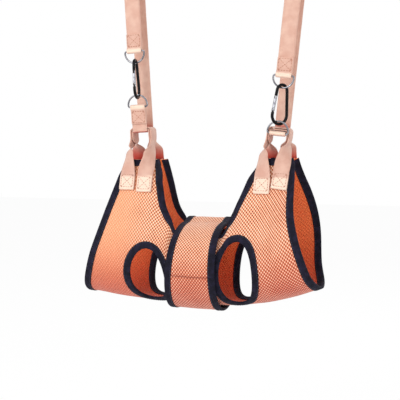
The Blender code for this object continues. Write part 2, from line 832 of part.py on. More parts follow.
def hook_wire_path():
    reach, taper = hook_taper()
    foot, up, length = gate_line()
    lean = math.degrees(taper)
    nose = foot + up * (length - NOSE_LENGTH)
    points = [nose]
    for k in range(13):
        angle = math.radians(mix(180 - lean, lean, k / 12))
        points.append(Vector((HOOK_TOP_RADIUS * math.cos(angle), 0, reach + HOOK_TOP_RADIUS * math.sin(angle))))
    for k in range(15):
        angle = math.radians(mix(lean, -180 - lean, k / 14))
        points.append(Vector((HOOK_FOOT_RADIUS * math.cos(angle), 0, HOOK_FOOT_RADIUS * math.sin(angle))))
    hinge_end = HINGE_HEIGHT - GATE_DIAMETER / 2 - HOOK_CLEAR
    points.append(foot + up * hinge_end)
    return points


def box_mesh(name, size, place, frame):
    bm = bmesh.new()
    bmesh.ops.create_cube(bm, size=1.0, matrix=Matrix.Translation(place) @ Matrix.Diagonal((*size, 1)))
    mesh = bpy.data.meshes.new(name)
    bm.to_mesh(mesh)
    bm.free()
    tool = bpy.data.objects.new(name, mesh)
    cutters.objects.link(tool)
    tool.matrix_world = frame
    return hide_cutter(tool)


def rod_mesh(name, radius, length, frame, segments=16):
    # a rod along its frame's y axis
    bm = bmesh.new()
    bmesh.ops.create_cone(bm, cap_ends=True, segments=segments, radius1=radius, radius2=radius, depth=length,
                          matrix=Matrix.Rotation(math.pi / 2, 4, "X"))
    mesh = bpy.data.meshes.new(name)
    bm.to_mesh(mesh)
    bm.free()
    mesh.shade_smooth()
    mesh.set_sharp_from_angle(angle=math.radians(50))
    tool = bpy.data.objects.new(name, mesh)
    cutters.objects.link(tool)
    tool.matrix_world = frame
    return tool


def make_hook_body(name, frame):
    # bent wire with a flat tongue at its nose and another at the gate's hinge
    body = round_wire(name, hook_wire_path(), HOOK_WIRE, BLACK, frame, False)
    hinge = gate_frame(frame)
    half = GATE_DIAMETER / 2
    sink = half
    foot_low = -half - HOOK_CLEAR - sink
    foot_high = tongue_reach()
    foot_size = (2 * foot_high, TONGUE_THICKNESS, foot_high - foot_low)
    foot_tongue = box_mesh(name + "_foot_tongue", foot_size, (0, 0, (foot_low + foot_high) / 2), hinge)
    nose = gate_length() + HOOK_CLEAR
    nose_size = (half, TONGUE_THICKNESS, TONGUE_LENGTH + sink)
    nose_tongue = box_mesh(name + "_nose_tongue", nose_size, (0, 0, nose + (sink - TONGUE_LENGTH) / 2), hinge)
    hole = hide_cutter(rod_mesh(name + "_pin_hole", PIN_DIAMETER / 2 + PIN_CLEAR, HOOK_WIRE, hinge))
    add_cut(body, foot_tongue, "UNION")
    add_cut(body, nose_tongue, "UNION")
    add_cut(body, hole)
    return body


def make_gate(name, frame):
    # a rod with a slot at each end for the tongues, and a bore for the spring
    hinge = gate_frame(frame)
    radius = GATE_DIAMETER / 2
    bm = bmesh.new()
    profile = [bm.verts.new((0, 0, gate_length())), bm.verts.new((radius, 0, gate_length()))]
    for k in range(7):
        angle = math.radians(-15 * k)
        profile.append(bm.verts.new((radius * math.cos(angle), 0, radius * math.sin(angle))))
    for pair in zip(profile, profile[1:]):
        bm.edges.new(pair)
    mesh = bpy.data.meshes.new(name)
    bm.to_mesh(mesh)
    bm.free()
    gate = add_object(name, mesh, STEEL, 0.3, 1.0)
    gate.matrix_world = hinge
    turn = gate.modifiers.new("turned", "SCREW")
    turn.steps = 16
    turn.render_steps = 16
    turn.use_merge_vertices = True
    turn.merge_threshold = 0.00001
    turn.use_smooth_shade = True
    slot = TONGUE_THICKNESS + 2 * HOOK_CLEAR
    foot_top = foot_slot_top()
    wide = 2 * GATE_DIAMETER
    foot_slot = box_mesh(name + "_foot_slot", (wide, slot, foot_top + wide), (0, 0, (foot_top - wide) / 2), hinge)
    nose_low = gate_length() - TONGUE_LENGTH - HOOK_CLEAR
    nose_slot = box_mesh(name + "_nose_slot", (wide, slot, wide), (0, 0, nose_low + wide / 2), hinge)
    hole = hide_cutter(rod_mesh(name + "_pin_hole", PIN_DIAMETER / 2 + PIN_CLEAR, wide, hinge))
    bore_radius = spring_radius() + SPRING_WIRE / 2 + HOOK_CLEAR / 2
    bore_place = hinge @ Matrix.Translation((0, 0, foot_top + SPRING_LENGTH / 2))
    bore_place = bore_place @ Matrix.Rotation(math.pi / 2, 4, "X")
    bore = hide_cutter(rod_mesh(name + "_bore", bore_radius, SPRING_LENGTH + 2 * HOOK_CLEAR, bore_place, 12))
    for tool in (foot_slot, nose_slot, hole, bore):
        add_cut(gate, tool)
    return gate


def tongue_reach():
    # how far the hinge tongue stands past the pin's centre, and each side of it
    return PIN_DIAMETER / 2 + 3 * HOOK_CLEAR


def foot_slot_top():
    return math.sqrt(2) * tongue_reach() + HOOK_CLEAR


def spring_radius():
    return GATE_DIAMETER / 2 - 0.0013


def make_spring(name, frame):
    # a small coil standing in the gate's bore, on the hinge tongue's end
    hinge = gate_frame(frame)
    radius = spring_radius()
    low = foot_slot_top() + SPRING_WIRE / 2
    height = SPRING_LENGTH - SPRING_WIRE - HOOK_CLEAR
    points = []
    count = SPRING_TURNS * 8
    for k in range(count + 1):
        angle = 2 * math.pi * k / 8
        points.append((radius * math.cos(angle), radius * math.sin(angle), low + height * k / count))
    return round_wire(name, points, SPRING_WIRE, STEEL, hinge, False, 1)


def make_pin(name, frame):
    pin = rod_mesh(name, PIN_DIAMETER / 2, GATE_DIAMETER - HOOK_CLEAR, gate_frame(frame), 12)
    cutters.objects.unlink(pin)
    hammock.objects.link(pin)
    pin.data.materials.append(finish(name, STEEL, 0.35, 1.0))
    return pin


def make_strap(end, foot_x, top_x, lower_on_foot, turn):
    frame = strap_frame(foot_x, top_x)
    height = strap_height(foot_x, top_x)
    if lower_on_foot:
        lower_bar = Vector((CHAIN_Y, -WEBBING_THICKNESS / 2 - FOLD_RADIUS))
        lower_along = Vector((1, 0))
        lower_side = Vector((0, 1))
    else:
        lower_bar = Vector((CHAIN_Y, REAR_LOWER_BAR))
        lower_along = Vector((0, -1))
        lower_side = Vector((1, 0))
    foot_contact = lower_bar.y + RING_HEIGHT - RING_GRIP
    upper_bar = Vector((CHAIN_Y, foot_contact + HOOK_REACH - RING_GRIP + RING_HEIGHT))
    path = strap_path(height, lower_bar, lower_along, lower_side, upper_bar)
    ribbon(end + "_strap", path, frame)
    make_ring(end + "_lower_ring", frame, lower_bar, 1)
    make_ring(end + "_upper_ring", frame, upper_bar, -1)
    place = Matrix.Translation((0.0, CHAIN_Y, foot_contact + HOOK_FOOT_RADIUS))
    hook_frame = frame @ place @ Matrix.Rotation(math.radians(turn), 4, "Z")
    make_hook_body(end + "_hook_body", hook_frame)
    make_gate(end + "_hook_gate", hook_frame)
    make_pin(end + "_hook_pin", hook_frame)
    make_spring(end + "_hook_spring", hook_frame)
    return frame


# Handles


def handle_leg(handle_x, top_girth, side, way, frame, spread):
    # one leg as (middle, width direction) pairs, from its sewn end up to the bend
    places = []
    s = handle_x + way * HANDLE_PITCH / 2
    for girth in spaced(top_girth - HANDLE_SEWN, top_girth + HANDLE_RISE, HANDLE_SEWN / 3):
        girth = girth * side
        low = drape(s - WEBBING_WIDTH / 2, girth, HANDLE_HEIGHT)
        high = drape(s + WEBBING_WIDTH / 2, girth, HANDLE_HEIGHT)
        places.append(((low + high) / 2, (high - low).normalized()))
    start, width = places[-1]
    rising = (start - places[-2][0]).normalized()
    up = (frame.to_3x3() @ Vector((0, 0, 1))).normalized()
    stop = frame @ Vector((way * spread, 0, HANDLE_REST - HANDLE_BEND - HANDLE_STRAIGHT))
    pull = (stop - start).length * 0.45
    control = (start, start + rising * pull, stop - up * pull, stop)
    target = Vector((0, way, 0))
    for k in range(1, TWIST_STEPS + 1):
        u = k / TWIST_STEPS
        v = 1 - u
        middle = (control[0] * v ** 3 + control[1] * 3 * v * v * u + control[2] * 3 * v * u * u + control[3] * u ** 3)
        turn = math.pi / 2 * smooth(u / TWIST_END)
        across = width * math.cos(turn) + target * math.sin(turn)
        places.append((middle, across))
    return places


def make_handle(name, handle_x, top_girth, side, frame, spread, outer):
    # outer is how far this handle lies outside the other where they cross
    left = handle_leg(handle_x, top_girth, side, -1, frame, spread + outer)
    right = handle_leg(handle_x, top_girth, side, 1, frame, spread + outer)
    radius = HANDLE_BEND + outer
    over = []
    for way, angles in ((-1, (0, 22.5, 45, 67.5, 90)), (1, (90, 67.5, 45, 22.5, 0))):
        for degrees in angles:
            angle = math.radians(degrees)
            x = way * (spread - HANDLE_BEND + radius * math.cos(angle))
            z = HANDLE_REST - HANDLE_BEND + radius * math.sin(angle)
            over.append((frame @ Vector((x, 0, z)), Vector((0, -1, 0))))
    strip = left + over + [(middle, -across) for middle, across in reversed(right)]
    rings = []
    for i, (middle, across) in enumerate(strip):
        before = strip[max(i - 1, 0)][0]
        after = strip[min(i + 1, len(strip) - 1)][0]
        heading = (after - before).normalized()
        normal = heading.cross(across).normalized()
        wide = across * WEBBING_WIDTH / 2
        thick = normal * WEBBING_THICKNESS / 2
        rings.append([middle - wide - thick, middle + wide - thick, middle + wide + thick, middle - wide + thick])
    return loft(name, rings, False, PEACH, 0.85)


def make_handles(end, handle_x, outer, inner, frame):
    top = (outer[1] + inner[1]) / 2
    make_handle(end + "_far_handle", handle_x, top, 1, frame, HANDLE_SPREAD, 0.0)
    make_handle(end + "_near_handle", handle_x, top, -1, frame, HANDLE_SPREAD, WEBBING_THICKNESS + HANDLE_GAP)


def build():
    make_sling()
    make_band()
    rear = make_strap("rear", REAR_FOOT_X, -HANG_SPACING / 2, False, 90 + REAR_HOOK_TURN)
    front = make_strap("front", FRONT_FOOT_X, HANG_SPACING / 2, True, 90 - FRONT_HOOK_TURN)
    make_handles("rear", REAR_HANDLE_X, REAR_EDGE[0], SIDE_EDGE[0], rear)
    make_handles("front", FRONT_HANDLE_X, FRONT_EDGE[0], SIDE_EDGE[-1], front)


build()
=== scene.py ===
import bisect
import functools
import math

import bmesh
import bpy
import numpy as np
from mathutils import Matrix, Vector, kdtree, noise
from mathutils.geometry import delaunay_2d_cdt


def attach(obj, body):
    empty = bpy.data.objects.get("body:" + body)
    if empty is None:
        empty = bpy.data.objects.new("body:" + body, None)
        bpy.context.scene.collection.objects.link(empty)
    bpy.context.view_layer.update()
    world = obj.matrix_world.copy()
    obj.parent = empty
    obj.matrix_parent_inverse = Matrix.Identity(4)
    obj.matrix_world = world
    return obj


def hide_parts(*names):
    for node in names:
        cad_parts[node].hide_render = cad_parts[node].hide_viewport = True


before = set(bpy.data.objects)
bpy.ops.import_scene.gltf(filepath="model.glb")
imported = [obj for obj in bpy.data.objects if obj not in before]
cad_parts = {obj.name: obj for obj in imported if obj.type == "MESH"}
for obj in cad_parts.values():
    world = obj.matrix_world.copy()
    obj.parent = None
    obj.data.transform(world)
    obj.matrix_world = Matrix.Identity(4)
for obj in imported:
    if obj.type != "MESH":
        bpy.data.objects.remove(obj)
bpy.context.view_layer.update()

bpy.ops.object.select_all(action="DESELECT")
print("frame loaded:", len(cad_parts), "nodes")

# Every size is in metres. Flat cloth is measured along the back (s) and round the girth
# from the middle of the belly (t, far side positive), and drape() hangs it.


def mix(a, b, u):
    return a + (b - a) * u


def share(value, start, stop):
    return min(max((value - start) / (stop - start), 0.0), 1.0)


def ramp(value, start, stop):
    # 0 at start, 1 at stop, eased at both
    u = share(value, start, stop)
    return u * u * (3.0 - 2.0 * u)


def plateau(value, start, full, fade, stop):
    return ramp(value, start, full) * (1.0 - ramp(value, fade, stop))


# Flat paths


def runLengths(points):
    lengths = [0.0]
    for a, b in zip(points, points[1:]):
        lengths.append(lengths[-1] + math.dist(a, b))
    return lengths


def pointAt(points, lengths, distance):
    index = min(max(bisect.bisect_right(lengths, distance), 1), len(points) - 1)
    span = lengths[index] - lengths[index - 1]
    return points[index - 1].lerp(points[index], (distance - lengths[index - 1]) / span if span else 0.0)


def evenly(points, step, closed=False):
    # the same path in equal steps
    if closed:
        points = points + [points[0]]
    lengths = runLengths(points)
    count = max(2, round(lengths[-1] / step))
    made = [pointAt(points, lengths, lengths[-1] * k / count) for k in range(count + 1)]
    return made[:-1] if closed else made


def curveThrough(points):
    # a smooth curve through the points, 24 steps from each to the next
    fine = []
    last = len(points) - 1
    for i in range(last):
        p1, p2 = Vector(points[i]), Vector(points[i + 1])
        p0 = Vector(points[i - 1]) if i > 0 else 2 * p1 - p2
        p3 = Vector(points[i + 2]) if i + 1 < last else 2 * p2 - p1
        for k in range(24):
            u = k / 24
            fine.append((2 * p1 + (p2 - p0) * u + (2 * p0 - 5 * p1 + 4 * p2 - p3) * u * u
                         + (3 * p1 - 3 * p2 + p3 - p0) * u ** 3) / 2)
    return fine + [Vector(points[-1])]


def mirrored(points):
    return [Vector((p.x, -p.y)) for p in reversed(points)]


def spaced(start, stop, step):
    count = max(2, math.ceil(abs(stop - start) / step))
    return [mix(start, stop, k / count) for k in range(count + 1)]


def arc(centre, halfX, halfY, start, stop, steps):
    # an arc of an ellipse, its ends in degrees
    turns = [math.radians(mix(start, stop, k / steps)) for k in range(steps + 1)]
    return [Vector((centre[0] + halfX * math.cos(a), centre[1] + halfY * math.sin(a))) for a in turns]


# The hang of the cloth: a round section under the body, straight sails above it

body = {
    "halfWidth": 0.065, "halfHeight": 0.071, "endHalfWidth": 0.058, "endHalfHeight": 0.062,
    "bellyDrop": 0.5125, "lowX": 0.012, "rearRise": 0.014, "frontRise": 0.035,
    "apexHalfGap": 0.020, "apexDrop": 0.285, "rearHug": (-0.053, -0.096), "frontHug": (0.029, 0.073),
    "holdGirth": (0.158, 0.194), "holdFade": 0.080,
    "headFlare": 0.010, "flareX": (0.080, 0.140), "flareGirth": (0.060, 0.255),
    "settle": 0.23, "settleFrom": -0.460, "settleHeight": 0.105, "settleX": (-0.062, -0.050, 0.029, 0.042),
    "curlFrom": 0.232, "curlFull": 0.270, "curlRadius": 0.026,
    "rearHandleX": -0.119, "frontHandleX": 0.1035, "nudge": 0.0002,
}
waves = {
    "band": (0.0005, 40, 28, 3.7), "nearLumps": (0.0013, 24, 20, 7.9), "farLumps": (0.0013, 24, 20, 1.3),
    "folds": 0.0011, "foldCount": 13.0, "foldStart": 1.1, "foldBend": 0.8, "foldBends": 37,
    "foldTop": 0.300, "foldGirth": (0.070, 0.150, 0.205, 0.220),
    "crease": 0.0022, "creaseX": 0.113, "creaseWidth": 0.0060, "creaseGirth": (0.030, 0.070, 0.150, 0.190),
    "sewnGirth": (0.200, 0.212), "sewnShare": 0.8, "heldShare": 0.25,
}


def section(s, grow):
    # half width, half height and the height of the middle
    if s > body["lowX"]:
        end, rise = sling["frontEdge"][-1][0], body["frontRise"]
    else:
        end, rise = sling["rearEdge"][-1][0], body["rearRise"]
    far = ((s - body["lowX"]) / (end - body["lowX"])) ** 2
    halfWidth = mix(body["halfWidth"], body["endHalfWidth"], far)
    halfHeight = mix(body["halfHeight"], body["endHalfHeight"], far)
    return halfWidth + grow, halfHeight + grow, -body["bellyDrop"] + rise * far + halfHeight


@functools.lru_cache(maxsize=None)
def girthTable(s, grow):
    # lengths round the section from its lowest point, every 2 degrees
    halfWidth, halfHeight, middle = section(s, grow)
    turns = [math.radians(2 * k - 90) for k in range(181)]
    return runLengths([(halfWidth * math.cos(a), halfHeight * math.sin(a)) for a in turns])


def onBody(s, girth, grow):
    halfWidth, halfHeight, middle = section(s, grow)
    lengths = girthTable(s, grow)
    index = min(bisect.bisect_right(lengths, girth), 180)
    part = (girth - lengths[index - 1]) / (lengths[index] - lengths[index - 1])
    angle = math.radians(2 * (index - 1 + part) - 90)
    return Vector((halfWidth * math.cos(angle), middle + halfHeight * math.sin(angle)))


@functools.lru_cache(maxsize=None)
def sailLine(s):
    # where the straight sail leaves the round section, its slope, and the girth there
    halfWidth, halfHeight, middle = section(s, 0.0)
    lengths = girthTable(s, 0.0)
    across = body["apexHalfGap"] / halfWidth
    above = (-body["apexDrop"] - middle) / halfHeight
    leave = math.atan2(above, across) - math.acos(1.0 / math.hypot(across, above))
    steps = (math.degrees(leave) + 90) / 2
    leftAt = mix(lengths[int(steps)], lengths[int(steps) + 1], steps - int(steps))
    foot = Vector((halfWidth * math.cos(leave), middle + halfHeight * math.sin(leave)))
    slope = Vector((-halfWidth * math.sin(leave), halfHeight * math.cos(leave))).normalized()
    return foot, slope, leftAt


def onSail(s, girth):
    foot, slope, leftAt = sailLine(s)
    return foot + slope * (girth - leftAt)


def hold(s):
    # 1 where the belly band holds the cloth round the body, 0 out in the sails
    return 1.0 - ramp(s, *body["frontHug" if s > 0 else "rearHug"])


def flare(s, t):
    along = ramp(s, *body["flareX"])
    bulge = math.sin(math.pi * share(abs(t), *body["flareGirth"])) ** 2
    return math.copysign(body["headFlare"] * along * bulge, t)


def handleAt(s):
    return body["rearHandleX" if s < 0 else "frontHandleX"]


def curl(s, girth):
    # the near sails' tops bend round with their handles' legs: how far inwards and along
    turned = ramp(girth, body["curlFrom"], body["curlFull"])
    if turned < 0.001:
        return 0.0, 0.0
    bend = turned / body["curlRadius"]
    away = s - handleAt(s)
    return (1.0 - math.cos(bend * away)) / bend, math.sin(bend * away) / bend - away


def settled(s, z):
    # the cloth lies flatter over the back than a round section does
    over = max(z - body["settleFrom"], 0.0)
    window = plateau(s, *body["settleX"])
    return z - over * body["settle"] * window * min(over / body["settleHeight"], 1.0)


def clothPoint(s, t, wrapped):
    girth, side = abs(t), math.copysign(1.0, t)
    if wrapped:
        place = onBody(s, girth, bandOffset)
        return Vector((s, side * place.x, settled(s, place.y)))
    if girth <= sailLine(s)[2]:
        place = onBody(s, girth, 0.0)
    else:
        low, high = body["holdGirth"]
        ease = share(girth, low, high)
        heldAt = min(girth, low) + (high - low) * (ease - ease * ease / 2)
        fade = 1.0 - ramp(girth, high, high + body["holdFade"])
        place = onSail(s, girth) - (onSail(s, heldAt) - onBody(s, heldAt, 0.0)) * hold(s) * fade
    inwards, along = curl(s, girth) if t < 0 else (0.0, 0.0)
    return Vector((s + flare(s, t) + along, side * (place.x - inwards), settled(s, place.y)))


def lumps(kind, s, t):
    height, scaleS, scaleT, seed = waves[kind]
    return height * noise.noise(Vector((s * scaleS, t * scaleT, seed)))


def ripple(s, t, wrapped):
    # soft waves: lumps all over, folds that fan down from the handles, one crease by the neck
    if wrapped:
        return lumps("band", s, t)
    girth = abs(t)
    fan = math.atan2(s - handleAt(s), waves["foldTop"] - girth)
    bent = waves["foldBend"] * math.sin(girth * waves["foldBends"])
    folds = waves["folds"] * math.sin(fan * waves["foldCount"] + waves["foldStart"] + bent)
    folds *= plateau(girth, *waves["foldGirth"])
    crease = 0.0
    if t < 0:
        away = (s - waves["creaseX"]) / waves["creaseWidth"]
        crease = -waves["crease"] * math.exp(-away * away) * plateau(girth, *waves["creaseGirth"])
    loose = 1.0 - waves["sewnShare"] * ramp(girth, *waves["sewnGirth"])
    height = lumps("farLumps" if t > 0 else "nearLumps", s, t) * loose + folds + crease
    return height * mix(waves["heldShare"], 1.0, 1.0 - hold(s))


def drape(s, t, lift=0.0, wrapped=False):
    nudge = body["nudge"]
    here = clothPoint(s, t, wrapped)
    along = clothPoint(s + nudge, t, wrapped) - here
    if t < 0 <= t + nudge:
        across = here - clothPoint(s, t - nudge, wrapped)
    else:
        across = clothPoint(s, t + nudge, wrapped) - here
    return here + across.cross(along).normalized() * (lift + ripple(s, t, wrapped))


# Materials: Flow wraps an output, and sums of Flows become Math nodes


class Flow:
    def __init__(self, tree, socket=None):
        self.tree, self.socket = tree, socket

    def node(self, kind, out=0, inputs=None, **settings):
        made = self.tree.nodes.new(kind)
        for key, value in settings.items():
            setattr(made, key, value)
        for key, value in (inputs or {}).items():
            self.feed(made.inputs[key], value)
        return Flow(self.tree, made.outputs[out])

    def feed(self, target, value):
        if isinstance(value, Flow):
            self.tree.links.new(value.socket, target)
        else:
            target.default_value = value

    def sum(self, operation, a, b=0.0):
        return self.node("ShaderNodeMath", inputs={0: a, 1: b}, operation=operation)

    def __add__(self, other):
        return self.sum("ADD", self, other)

    __radd__ = __add__

    def __sub__(self, other):
        return self.sum("SUBTRACT", self, other)

    def __rsub__(self, other):
        return self.sum("SUBTRACT", other, self)

    def __mul__(self, other):
        return self.sum("MULTIPLY", self, other)

    __rmul__ = __mul__

    def wave(self, pitch):
        return self.sum("COSINE", self * (2 * math.pi / pitch))

    def part(self, axis):
        return self.node("ShaderNodeSeparateXYZ", inputs={0: self}, out=axis)

    def step(self, low, high, start=0.0, stop=1.0):
        ends = {"Value": self, "From Min": low, "From Max": high, "To Min": start, "To Max": stop}
        return self.node("ShaderNodeMapRange", interpolation_type="SMOOTHSTEP", inputs=ends)

    def blend(self, first, second):
        # a colour between two, by this share
        return self.node("ShaderNodeMix", out=2, data_type="RGBA", inputs={0: self, 6: first, 7: second})

    def noise(self, scale, detail=2.0, roughness=0.5):
        grain = {"Vector": self, "Scale": scale, "Detail": detail, "Roughness": roughness}
        return self.node("ShaderNodeTexNoise", inputs=grain)


def colour(red, green, blue):
    # from the shades of a screen, 0 to 255, to the scene's own linear values
    made = []
    for value in (red, green, blue):
        value /= 255
        made.append(value / 12.92 if value <= 0.04045 else ((value + 0.055) / 1.055) ** 2.4)
    return (*made, 1.0)


def newFinish(name, roughness, metallic=0.0, **sockets):
    # a material, its Flow, the shader, and where a point lies on the cut cloth or in the piece
    finish = bpy.data.materials.new(name)
    finish.use_nodes = True
    shader = finish.node_tree.nodes["Principled BSDF"]
    shader.inputs["Roughness"].default_value = roughness
    shader.inputs["Metallic"].default_value = metallic
    for key, value in sockets.items():
        shader.inputs[key.replace("_", " ")].default_value = value
    flow = Flow(finish.node_tree)
    flat = flow.node("ShaderNodeUVMap", uv_map="cut")
    return finish, flow, shader, flat, flow.node("ShaderNodeTexCoord", out="Object")


def bumpInto(flow, shader, height, distance, strength=1.0):
    bump = {"Height": height, "Distance": distance, "Strength": strength}
    flow.feed(shader.inputs["Normal"], flow.node("ShaderNodeBump", inputs=bump))


meshLook = {
    # deep is the colour of the painted shade low on the body and towards the front
    "pitchS": 0.0048, "pitchT": 0.0063, "deep": colour(204, 70, 32),
    # each skin: its face colour, the pads' colour with a painted highlight, the holes' colour with painted
    # shade, and how strongly they show
    "airMeshOutside": (colour(250, 170, 124), colour(255, 236, 214), colour(146, 46, 22), 1.0),
    "airMeshInside": (colour(255, 126, 60), colour(255, 156, 94), colour(224, 84, 34), 0.45),
    "paintedShadeZ": (-0.385, -0.500), "paintedShadeX": (0.060, 0.150), "lightContrastX": (-0.150, -0.080),
    "patchScale": 26.0, "yarnScale": 1600.0, "bump": 0.0007,
}


def meshFinish(name):
    # air mesh in a staggered knit: painted highlight on its pads and painted shade in its holes, and painted
    # shade deepening the colour low on the body
    finish, flow, shader, flat, where = newFinish(name, 0.82, Sheen_Weight=0.25, Sheen_Roughness=0.5)
    face, light, hole, contrast = meshLook[name]
    knit = flat.part(0).wave(meshLook["pitchS"]) * flat.part(1).wave(meshLook["pitchT"])
    patches = flat.noise(meshLook["patchScale"], 3.0)
    # painted shade: the colour deepens low on the body and, a little, towards the front
    low = where.part(2).step(*meshLook["paintedShadeZ"]) * 0.9 + where.part(0).step(*meshLook["paintedShadeX"]) * 0.2
    # painted light: the pads' highlight and the holes' shade show weakly over the rear sail and fully from its
    # handle forwards
    lightContrast = where.part(0).step(*meshLook["lightContrastX"], 0.22, 1.0) * contrast
    # pads: painted highlight; holes: painted shade
    pads = knit.step(0.20, 0.80) * (patches.step(0.30, 0.70, 0.60, 1.0) * lightContrast)
    holes = (0.0 - knit).step(0.05, 0.45) * (patches.step(0.70, 0.30, 0.75, 1.0) * lightContrast)
    base = pads.blend(low.blend(face, meshLook["deep"]), (low * 0.6).blend(light, face))
    flow.feed(shader.inputs["Base Color"], holes.blend(base, hole))
    yarn = flat.noise(meshLook["yarnScale"], 1.0)
    bumpInto(flow, shader, knit.step(-0.85, 0.35) + yarn * 0.25, meshLook["bump"])
    return finish


tapeLook = {
    "rib": 0.0011, "weft": 0.0016, "wornScale": 90.0, "dark": colour(14, 12, 27), "worn": colour(32, 29, 52),
    "bump": 0.00022,
}


def tapeFinish():
    finish, flow, shader, flat, where = newFinish("bindingTape", 0.85, Specular_IOR_Level=0.25)
    ribs = flat.part(1).wave(tapeLook["rib"]) * 0.5 + flat.part(0).wave(tapeLook["weft"]) * 0.35
    worn = flat.noise(tapeLook["wornScale"], 4.0).step(0.35, 0.75)
    flow.feed(shader.inputs["Base Color"], worn.blend(tapeLook["dark"], tapeLook["worn"]))
    bumpInto(flow, shader, ribs, tapeLook["bump"], 0.8)
    return finish


# the pale colour is a painted highlight and the glow colour a deep red-orange painted shade
webbingLook = {
    "rib": 0.00165, "weft": 0.0021, "stainScale": 60.0, "stained": colour(217, 170, 151),
    "clean": colour(229, 190, 171), "groove": colour(196, 132, 110), "pale": colour(254, 224, 202),
    "glow": colour(196, 44, 22), "bump": 0.00028,
}


def webbingFinish():
    # woven ribs run along the webbing, crossed by the weft; the per-point painted light makes it paler where
    # it is a painted highlight and deep red-orange where it is painted shade
    finish, flow, shader, flat, where = newFinish("peachWebbing", 0.74, Sheen_Weight=0.3, Sheen_Roughness=0.45)
    rib, weft = flat.part(0).wave(webbingLook["rib"]), flat.part(1).wave(webbingLook["weft"])
    weave = rib * 0.55 + rib * weft * 0.45
    stain = flat.noise(webbingLook["stainScale"], 3.0).step(0.30, 0.75)
    tone = flow.node("ShaderNodeAttribute", out="Fac", attribute_name="tone")
    face = stain.blend(webbingLook["stained"], webbingLook["clean"])
    face = (weave.step(0.1, -1.0) * 0.4).blend(face, webbingLook["groove"])
    face = tone.step(0.0, 1.0).blend(face, webbingLook["pale"])
    face = tone.step(0.0, -1.0).blend(face, webbingLook["glow"])
    flow.feed(shader.inputs["Base Color"], face)
    bumpInto(flow, shader, weave, webbingLook["bump"], 0.9)
    return finish


threadLook = {
    "peachThread": (colour(192, 122, 96), "webbing"), "navyThread": (colour(52, 54, 76), "edge_tape"),
    "weltThread": (colour(158, 62, 32), "spacer_mesh"), "orangeThread": (colour(206, 96, 56), "spacer_mesh"),
    "twistScale": 2600.0, "darker": 0.7,
}


def threadFinish(name):
    finish, flow, shader, flat, where = newFinish(name, 0.6, Sheen_Weight=0.2)
    twist = where.noise(threadLook["twistScale"], 1.0).step(0.3, 0.7)
    tint = threadLook[name][0]
    darker = tuple(c * threadLook["darker"] for c in tint[:3]) + (1.0,)
    flow.feed(shader.inputs["Base Color"], twist.blend(darker, tint))
    return finish


patchLook = {"pileScale": 1500.0, "deep": colour(20, 20, 28), "tips": colour(60, 60, 74), "bump": 0.0006}


def patchFinish():
    finish, flow, shader, flat, where = newFinish("hookAndLoop", 0.95, Sheen_Weight=0.3)
    pile = where.noise(patchLook["pileScale"], 3.0, 0.7)
    flow.feed(shader.inputs["Base Color"], pile.step(0.3, 0.75).blend(patchLook["deep"], patchLook["tips"]))
    bumpInto(flow, shader, pile, patchLook["bump"])
    return finish


steelLook = {
    "dullScale": 140.0, "scratchScale": 2200.0, "bright": colour(150, 150, 155), "dull": colour(112, 112, 118),
    "roughness": (0.14, 0.30), "bump": 0.00005,
}


def steelFinish():
    # bright plating with fine scratches and a slightly duller skin in places
    finish, flow, shader, flat, where = newFinish("platedSteel", 0.24, 1.0)
    dull, scratches = where.noise(steelLook["dullScale"], 3.0), where.noise(steelLook["scratchScale"], 2.0)
    flow.feed(shader.inputs["Base Color"], dull.step(0.35, 0.75).blend(steelLook["bright"], steelLook["dull"]))
    flow.feed(shader.inputs["Roughness"], dull.step(0.3, 0.8, *steelLook["roughness"]))
    bumpInto(flow, shader, scratches, steelLook["bump"], 0.5)
    return finish


blackLook = {
    "chipScale": 420.0, "grainScale": 1500.0, "enamel": colour(4, 3, 5), "bare": colour(96, 96, 100),
    "roughness": (0.24, 0.40), "bump": 0.00006,
}


def blackFinish():
    # black enamel on wire, rubbed through to grey in small spots
    finish, flow, shader, flat, where = newFinish("blackEnamel", 0.34, Coat_Weight=0.03, Coat_Roughness=0.2,
                                                  Specular_IOR_Level=0.14)
    chips = where.noise(blackLook["chipScale"], 5.0, 0.7).step(0.66, 0.72)
    grain = where.noise(blackLook["grainScale"], 2.0)
    flow.feed(shader.inputs["Base Color"], chips.blend(blackLook["enamel"], blackLook["bare"]))
    flow.feed(shader.inputs["Metallic"], chips * 0.8)
    flow.feed(shader.inputs["Roughness"], grain.step(0.3, 0.7, *blackLook["roughness"]))
    bumpInto(flow, shader, grain - chips * 0.6, blackLook["bump"], 0.6)
    return finish


# each finish with the slot of the pieces that wear it
finishes = {
    "mesh": (meshFinish("airMeshOutside"), "spacer_mesh"),
    "meshInside": (meshFinish("airMeshInside"), "spacer_mesh"),
    "tape": (tapeFinish(), "edge_tape"), "webbing": (webbingFinish(), "webbing"),
    "patch": (patchFinish(), "hook_and_loop"),
    "steel": (steelFinish(), "steel"), "black": (blackFinish(), "black_hook"),
}
for name in ("peachThread", "navyThread", "weltThread", "orangeThread"):
    finishes[name] = (threadFinish(name), threadLook[name][1])
print("materials made")

# Camera, lamps, floor

cameraView = {
    "azimuth": 18.0, "elevation": 4.0, "distance": 1.570, "target": (-0.022, 0.0, -0.347),
    "focal": 980.0, "picture": 400.0, "clip": (0.05, 30.0),
}
lamps = {
    "key": {"place": (-1.0, -2.0, 0.9), "size": 1.3, "power": 27.0},
    "fill": {"place": (1.9, -1.2, 0.1), "size": 1.2, "power": 9.0},
    "back": {"place": (0.3, 1.6, 0.9), "size": 1.0, "power": 8.0},
}
studio = {"light": 0.74, "floorDrop": -0.80, "floorSize": 12.0, "floorShade": 0.97, "floorGlow": 0.9}


def aim(obj, target):
    obj.rotation_euler = (Vector(target) - obj.location).to_track_quat("-Z", "Y").to_euler()


